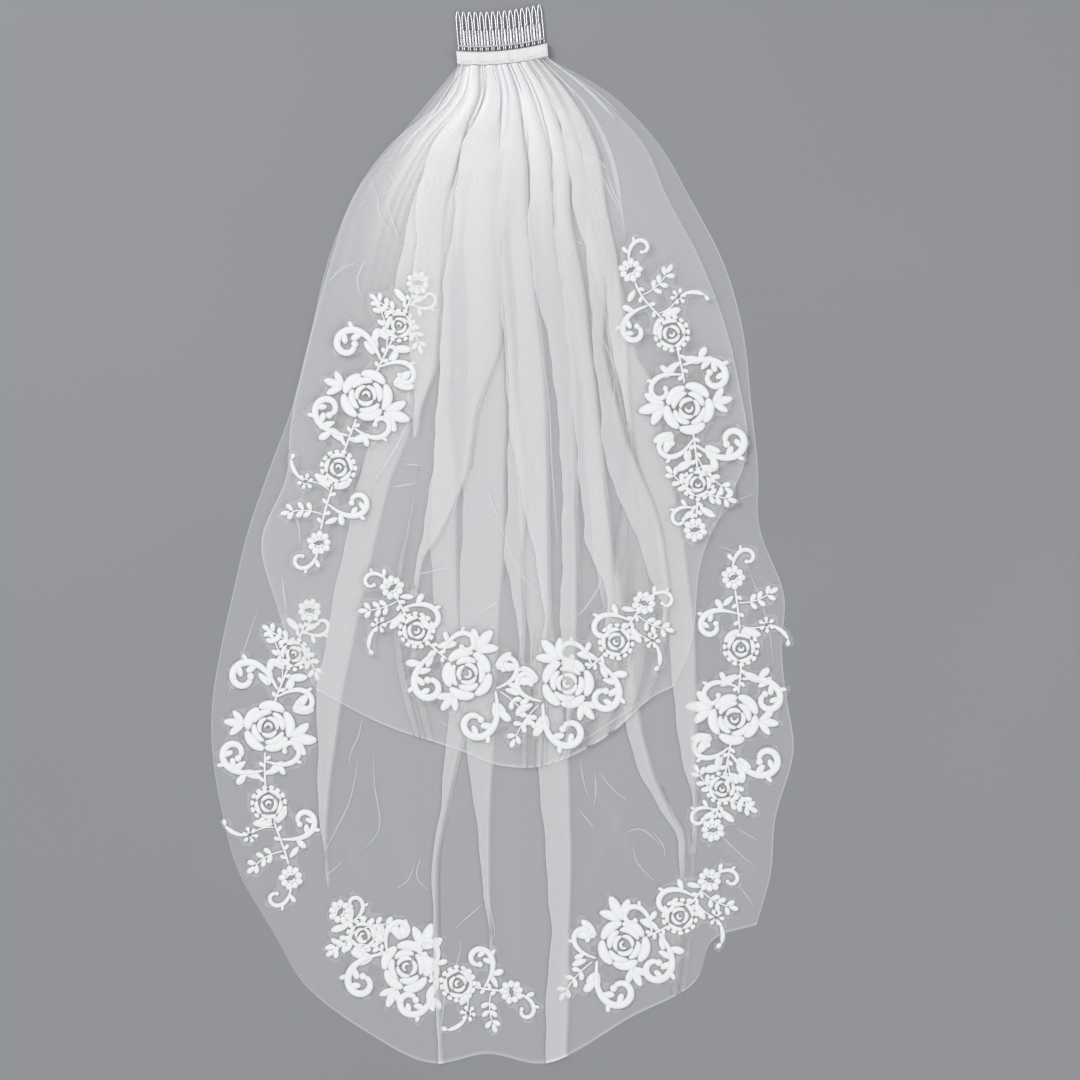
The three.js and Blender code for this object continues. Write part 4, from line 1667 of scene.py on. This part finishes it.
def lower_tier() -> TulleTier:
    """The long tier that lies on the floor."""
    panel = Panel(
        sections=(
            (390, -61, 97), (345, -98, 140), (300, -132, 166), (240, -156, 197), (180, -170, 214),
            (110, -188, 222), (50, -210, 229), (0, -227, 235), (-50, -239, 241), (-100, -250, 247),
            (-150, -258, 252), (-195, -258, 253), (-250, -249, 248), (-300, -235, 240),
        ),
        hem=(
            (-202, -358), (-176, -401), (-120, -444), (-64, -471), (-13, -463),
            (39, -471), (115, -430), (171, -399), (187, -362), (226, -348),
        ),
        edge_folds=(
            EdgeFold(Side.RIGHT, 0.57, 0.04, -6),
            EdgeFold(Side.RIGHT, 0.65, 0.04, 9),
            EdgeFold(Side.RIGHT, 0.81, 0.04, 6),
            EdgeFold(Side.RIGHT, 0.89, 0.04, -5),
        ),
    )
    strips = (
        Strip((
            (415, -30, -24), (341, -60, -38), (246, -90, -54), (145, -106, -60), (124, -110, -73),
            (52, -126, -100), (-40, -146, -122), (-139, -165, -143), (-190, -164, -150),
            (-237, -163, -156), (-282, -159, -158),
        )),
        Strip((
            (414, -19, -16), (300, -46, -42), (110, -58, -50), (52, -62, -42), (-64, -61, -41),
            (-168, -47, -33), (-237, -54, -49), (-291, -62, -60), (-400, -60, -58), (-469, -57, -55),
        )),
        Strip((
            (413, -10, -6), (300, -30, -6), (197, -31, -3), (52, -35, 0), (-6, -35, 1), (-80, -38, -5),
            (-192, -31, -9), (-237, -25, -12), (-326, -15, -13), (-357, -12, -11),
        )),
        Strip((
            (414, 3, 7), (255, 8, 24), (81, 12, 38), (-93, 24, 44), (-150, 29, 52), (-210, 33, 58),
            (-290, 39, 60), (-353, 44, 58), (-400, 40, 58), (-471, 38, 56),
        )),
        Strip((
            (415, 17, 21), (226, 50, 60), (52, 75, 88), (-35, 84, 101), (-126, 101, 115), (-178, 112, 123),
            (-219, 124, 134), (-250, 143, 149), (-270, 158, 160),
        )),
        Strip((
            (416, 28, 34), (255, 75, 92), (153, 97, 118), (139, 102, 131), (66, 117, 146), (-6, 140, 160),
            (-78, 148, 169), (-148, 152, 171), (-200, 160, 170), (-237, 169, 171),
        )),
    )
    ridges = (
        Ridge((-150, -250), (-120, -310), 4.0, 0.5, 0.05),
        Ridge((-95, -215), (-80, -330), 5.0, 0.5, 0.04),
        Ridge((75, -205), (120, -300), 5.0, 0.6, 0.05),
        Ridge((110, -240), (70, -320), 4.0, 0.5, 0.05),
        Ridge((180, -255), (225, -310), 4.0, 0.6, 0.06),
        Ridge((205, 20), (240, -60), 5.0, 0.6, 0.05),
        Ridge((-215, -20), (-180, -90), 5.0, 0.5, 0.04),
        Ridge((0, -230), (15, -400), 6.0, 0.5, 0.04),
    )
    pinches = (
        ((-124, -160), (-128, -180), (-136, -199), (-133, -212)),
        ((-115, -191), (-114, -222), (-110, -264), (-129, -286)),
        ((-127, -194), (-136, -238), (-151, -269), (-165, -295)),
        ((-78, -293), (-84, -308), (-97, -318)),
        ((-140, -290), (-161, -308)),
        ((-72, -285), (-76, -306), (-64, -319)),
        ((-16, -328), (-44, -353)),
        ((-37, -358), (-38, -374), (-47, -396)),
        ((-13, -295), (-12, -329), (-7, -357), (-14, -367)),
        ((69, -199), (72, -220), (78, -238)),
        ((82, -209), (83, -228), (81, -246)),
        ((84, -209), (97, -226), (115, -241)),
        ((67, -244), (84, -265)),
        ((106, -267), (123, -263), (144, -280)),
        ((115, -275), (120, -293), (138, -312)),
        ((133, -264), (144, -280), (144, -290)),
        ((185, -254), (198, -272), (228, -300)),
        ((206, -261), (229, -274)),
        ((209, -311), (225, -333)),
        ((-59, -374), (-52, -395), (-58, -468)),
        ((176, -6), (207, 28), (227, 36)),
        ((189, -10), (229, -24)),
        ((216, -24), (236, -80), (241, -120)),
        ((-215, -60), (-232, -110), (-246, -150)),
    )
    return TulleTier(
        name="lower_tier", panel=panel, underside=0.0, rows=240, columns=405, strips=strips, gathers=2,
        ridges=ridges, pinches=pinches, flat=(0.72, 0.90), cut_area=0.55,
    )


def upper_tier() -> TulleTier:
    """The short tier that lies over the long one."""
    panel = Panel(
        sections=(
            (390, -49, 83), (345, -100, 126), (300, -132, 146), (240, -153, 177), (170, -172, 202),
            (110, -186, 212), (70, -193, 210), (30, -199, 202), (-8, -203, 191), (-50, -202, 180),
            (-100, -188, 168),
        ),
        hem=(
            (-165, -139), (-105, -170), (-40, -192), (-2, -206),
            (38, -206), (93, -180), (132, -146), (152, -136),
        ),
        edge_folds=(
            EdgeFold(Side.LEFT, 0.67, 0.05, -5),
            EdgeFold(Side.LEFT, 0.77, 0.06, 11),
            EdgeFold(Side.RIGHT, 0.65, 0.06, 7),
            EdgeFold(Side.RIGHT, 0.81, 0.08, -10),
        ),
    )
    strips = (
        Strip((
            (415, -28, -22), (341, -64, -40), (255, -76, -55), (197, -84, -58), (145, -80, -62),
            (110, -77, -74),
        )),
        Strip((
            (414, -14, -9), (345, -36, -6), (283, -41, -3), (226, -52, -3), (168, -54, -4), (140, -56, -14),
            (110, -58, -25), (52, -62, -33), (-6, -72, -60), (-22, -75, -73),
        )),
        Strip((
            (415, -4, -1), (197, -1, 4), (139, 4, 9), (52, 5, 18), (-6, 3, 17), (-20, 1, 15), (-50, 8, 17),
            (-87, 16, 18),
        ), 0.7),
        Strip((
            (415, 0, 4), (312, -2, 19), (255, -1, 24), (211, 0, 27), (168, 5, 32), (124, 5, 36),
            (81, 8, 37), (23, 19, 38), (-30, 31, 39), (-70, 38, 40),
        )),
        Strip((
            (416, 8, 13), (298, 24, 42), (226, 27, 50), (182, 39, 58), (139, 46, 62), (95, 50, 62),
            (23, 53, 63), (-78, 52, 65), (-130, 54, 63), (-170, 57, 58),
        )),
        Strip((
            (417, 17, 22), (298, 45, 56), (226, 52, 68), (168, 58, 75), (110, 62, 81), (52, 68, 88),
            (-6, 73, 94), (-35, 86, 96), (-60, 95, 97),
        )),
        Strip((
            (417, 25, 29), (324, 58, 72), (255, 73, 88), (168, 80, 86), (133, 85, 93), (81, 89, 108),
            (52, 94, 120), (-6, 120, 140), (-44, 133, 146), (-66, 144, 146),
        ), 0.8),
        Strip((
            (418, 31, 35), (324, 72, 86), (255, 86, 98), (211, 92, 104), (153, 98, 110), (125, 108, 111),
        ), 0.8),
    )
    ridges = (
        Ridge((-150, 130), (-120, 40), 5.0, 0.5, 0.05),
        Ridge((-130, 280), (-150, 190), 5.0, 0.5, 0.05),
        Ridge((120, 300), (170, 190), 5.0, 0.5, 0.05),
        Ridge((-30, -60), (-45, -160), 5.0, 0.5, 0.04),
        Ridge((90, -40), (80, -150), 5.0, 0.5, 0.04),
        Ridge((-150, -60), (-120, -130), 5.0, 0.6, 0.05),
    )
    pinches = (
        ((-120, 313), (-111, 300), (-110, 285), (-95, 262)),
        ((-104, 303), (-100, 285), (-91, 258)),
        ((-156, 221), (-143, 235), (-128, 241)),
        ((-120, 247), (-129, 225), (-124, 207)),
        ((-189, 27), (-181, 7), (-180, -12)),
        ((-99, 41), (-73, 45)),
        ((-88, 62), (-70, 60)),
        ((-120, 37), (-97, 72), (-80, 105), (-68, 127)),
        ((-196, -35), (-192, -70)),
        ((79, 337), (95, 322)),
        ((81, 335), (92, 310), (109, 279)),
        ((92, 322), (100, 300), (111, 279)),
        ((58, 263), (75, 255)),
        ((82, 202), (81, 191), (99, 144), (88, 130)),
        ((100, 142), (98, 104)),
        ((19, 139), (29, 124), (24, 66), (16, -20)),
        ((-22, 64), (1, 0), (16, -35), (56, -75)),
        ((94, -3), (88, -41), (71, -69), (47, -87)),
        ((81, 81), (85, 23), (94, -3)),
        ((-83, -38), (-45, -30)),
        ((-19, -70), (-3, -60)),
        ((27, 190), (40, 130), (44, 60), (50, -20)),
        ((-33, 240), (-30, 140), (-38, 40), (-52, -10)),
        ((-60, -165), (-35, -178), (-18, -196)),
        ((70, -185), (100, -165), (128, -146)),
    )
    return TulleTier(
        name="upper_tier", panel=panel, underside=3.9, rows=205, columns=455, strips=strips, gathers=2,
        ridges=ridges, pinches=pinches, flat=(0.72, 0.635), cut_area=0.41,
    )


def lace_sprays(lower: TulleTier, upper: TulleTier) -> dict[str, list[LaceSpray]]:
    """The eight sprays, by the tier that carries them.

    Args:
        lower: The long tier.
        upper: The short tier.

    Returns:
        Sprays by tier name.
    """
    long, short = SprayLength.LONG, SprayLength.SHORT
    upper_runs = (
        ("upper_spray_left", 1, long,
         ((0.11, 0.78), (0.105, 0.73), (0.12, 0.63), (0.155, 0.53), (0.205, 0.43), (0.25, 0.35))),
        ("upper_spray_right", 1, long,
         ((0.815, 0.325), (0.82, 0.39), (0.87, 0.455), (0.88, 0.555), (0.905, 0.67), (0.955, 0.77))),
        ("upper_spray_hem_left", -1, short,
         ((0.255, 0.775), (0.32, 0.835), (0.435, 0.88), (0.535, 0.9))),
        ("upper_spray_hem_right", 1, short,
         ((0.855, 0.82), (0.755, 0.87), (0.65, 0.895), (0.575, 0.92))),
    )
    lower_runs = (
        ("lower_spray_left", 1, long,
         ((0.15, 0.885), (0.15, 0.85), (0.12, 0.785), (0.12, 0.715), (0.145, 0.635), (0.16, 0.585))),
        ("lower_spray_right", 1, long,
         ((0.935, 0.6), (0.93, 0.655), (0.935, 0.71), (0.915, 0.765), (0.88, 0.81), (0.85, 0.855))),
        ("lower_spray_hem_left", 1, long,
         ((0.53, 0.93), (0.44, 0.93), (0.35, 0.905), (0.265, 0.885), (0.23, 0.87))),
        ("lower_spray_hem_right", 1, short,
         ((0.88, 0.905), (0.78, 0.92), (0.69, 0.92), (0.625, 0.92))),
    )
    return {
        tier.name: [LaceSpray(name, tier.panel, tier.underside, side, length, stem)
                    for name, side, length, stem in runs]
        for tier, runs in ((lower, lower_runs), (upper, upper_runs))
    }


def main() -> None:
    """Builds every piece in order and reports it."""
    logging.basicConfig(level=logging.INFO, format="%(message)s")
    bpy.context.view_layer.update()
    Studio().build()
    tulle = TulleFinish().material("tulle_net")
    lace = LaceFinish().material("corded_lace")
    net = GroundFinish().material("lace_ground")
    satin = SatinFinish().material("satin_ribbon")
    tiers = [lower_tier(), upper_tier()]
    sprays = lace_sprays(*tiers)
    rolled = TulleFinish(cover=0.22, mesh_depth=0.2).material("rolled_tulle")
    for tier in tiers:
        cloth = tier.build(tulle)
        worked = [tier.pinched(rolled), *[spray.build(lace, net) for spray in sprays[tier.name]]]
        tier.declare(cloth, worked)
        for piece in (cloth, *worked):
            LOG.info("%s: %d faces", piece.name, len(piece.data.polygons))
    band = RibbonBand()
    hard = [band.build(satin), band.stitches(satin), WireComb().build(WireFinish().material("comb_steel"))]
    for piece in hard:
        LOG.info("%s: %d faces", piece.name, len(piece.data.polygons))


if __name__ == "__main__":
    main()
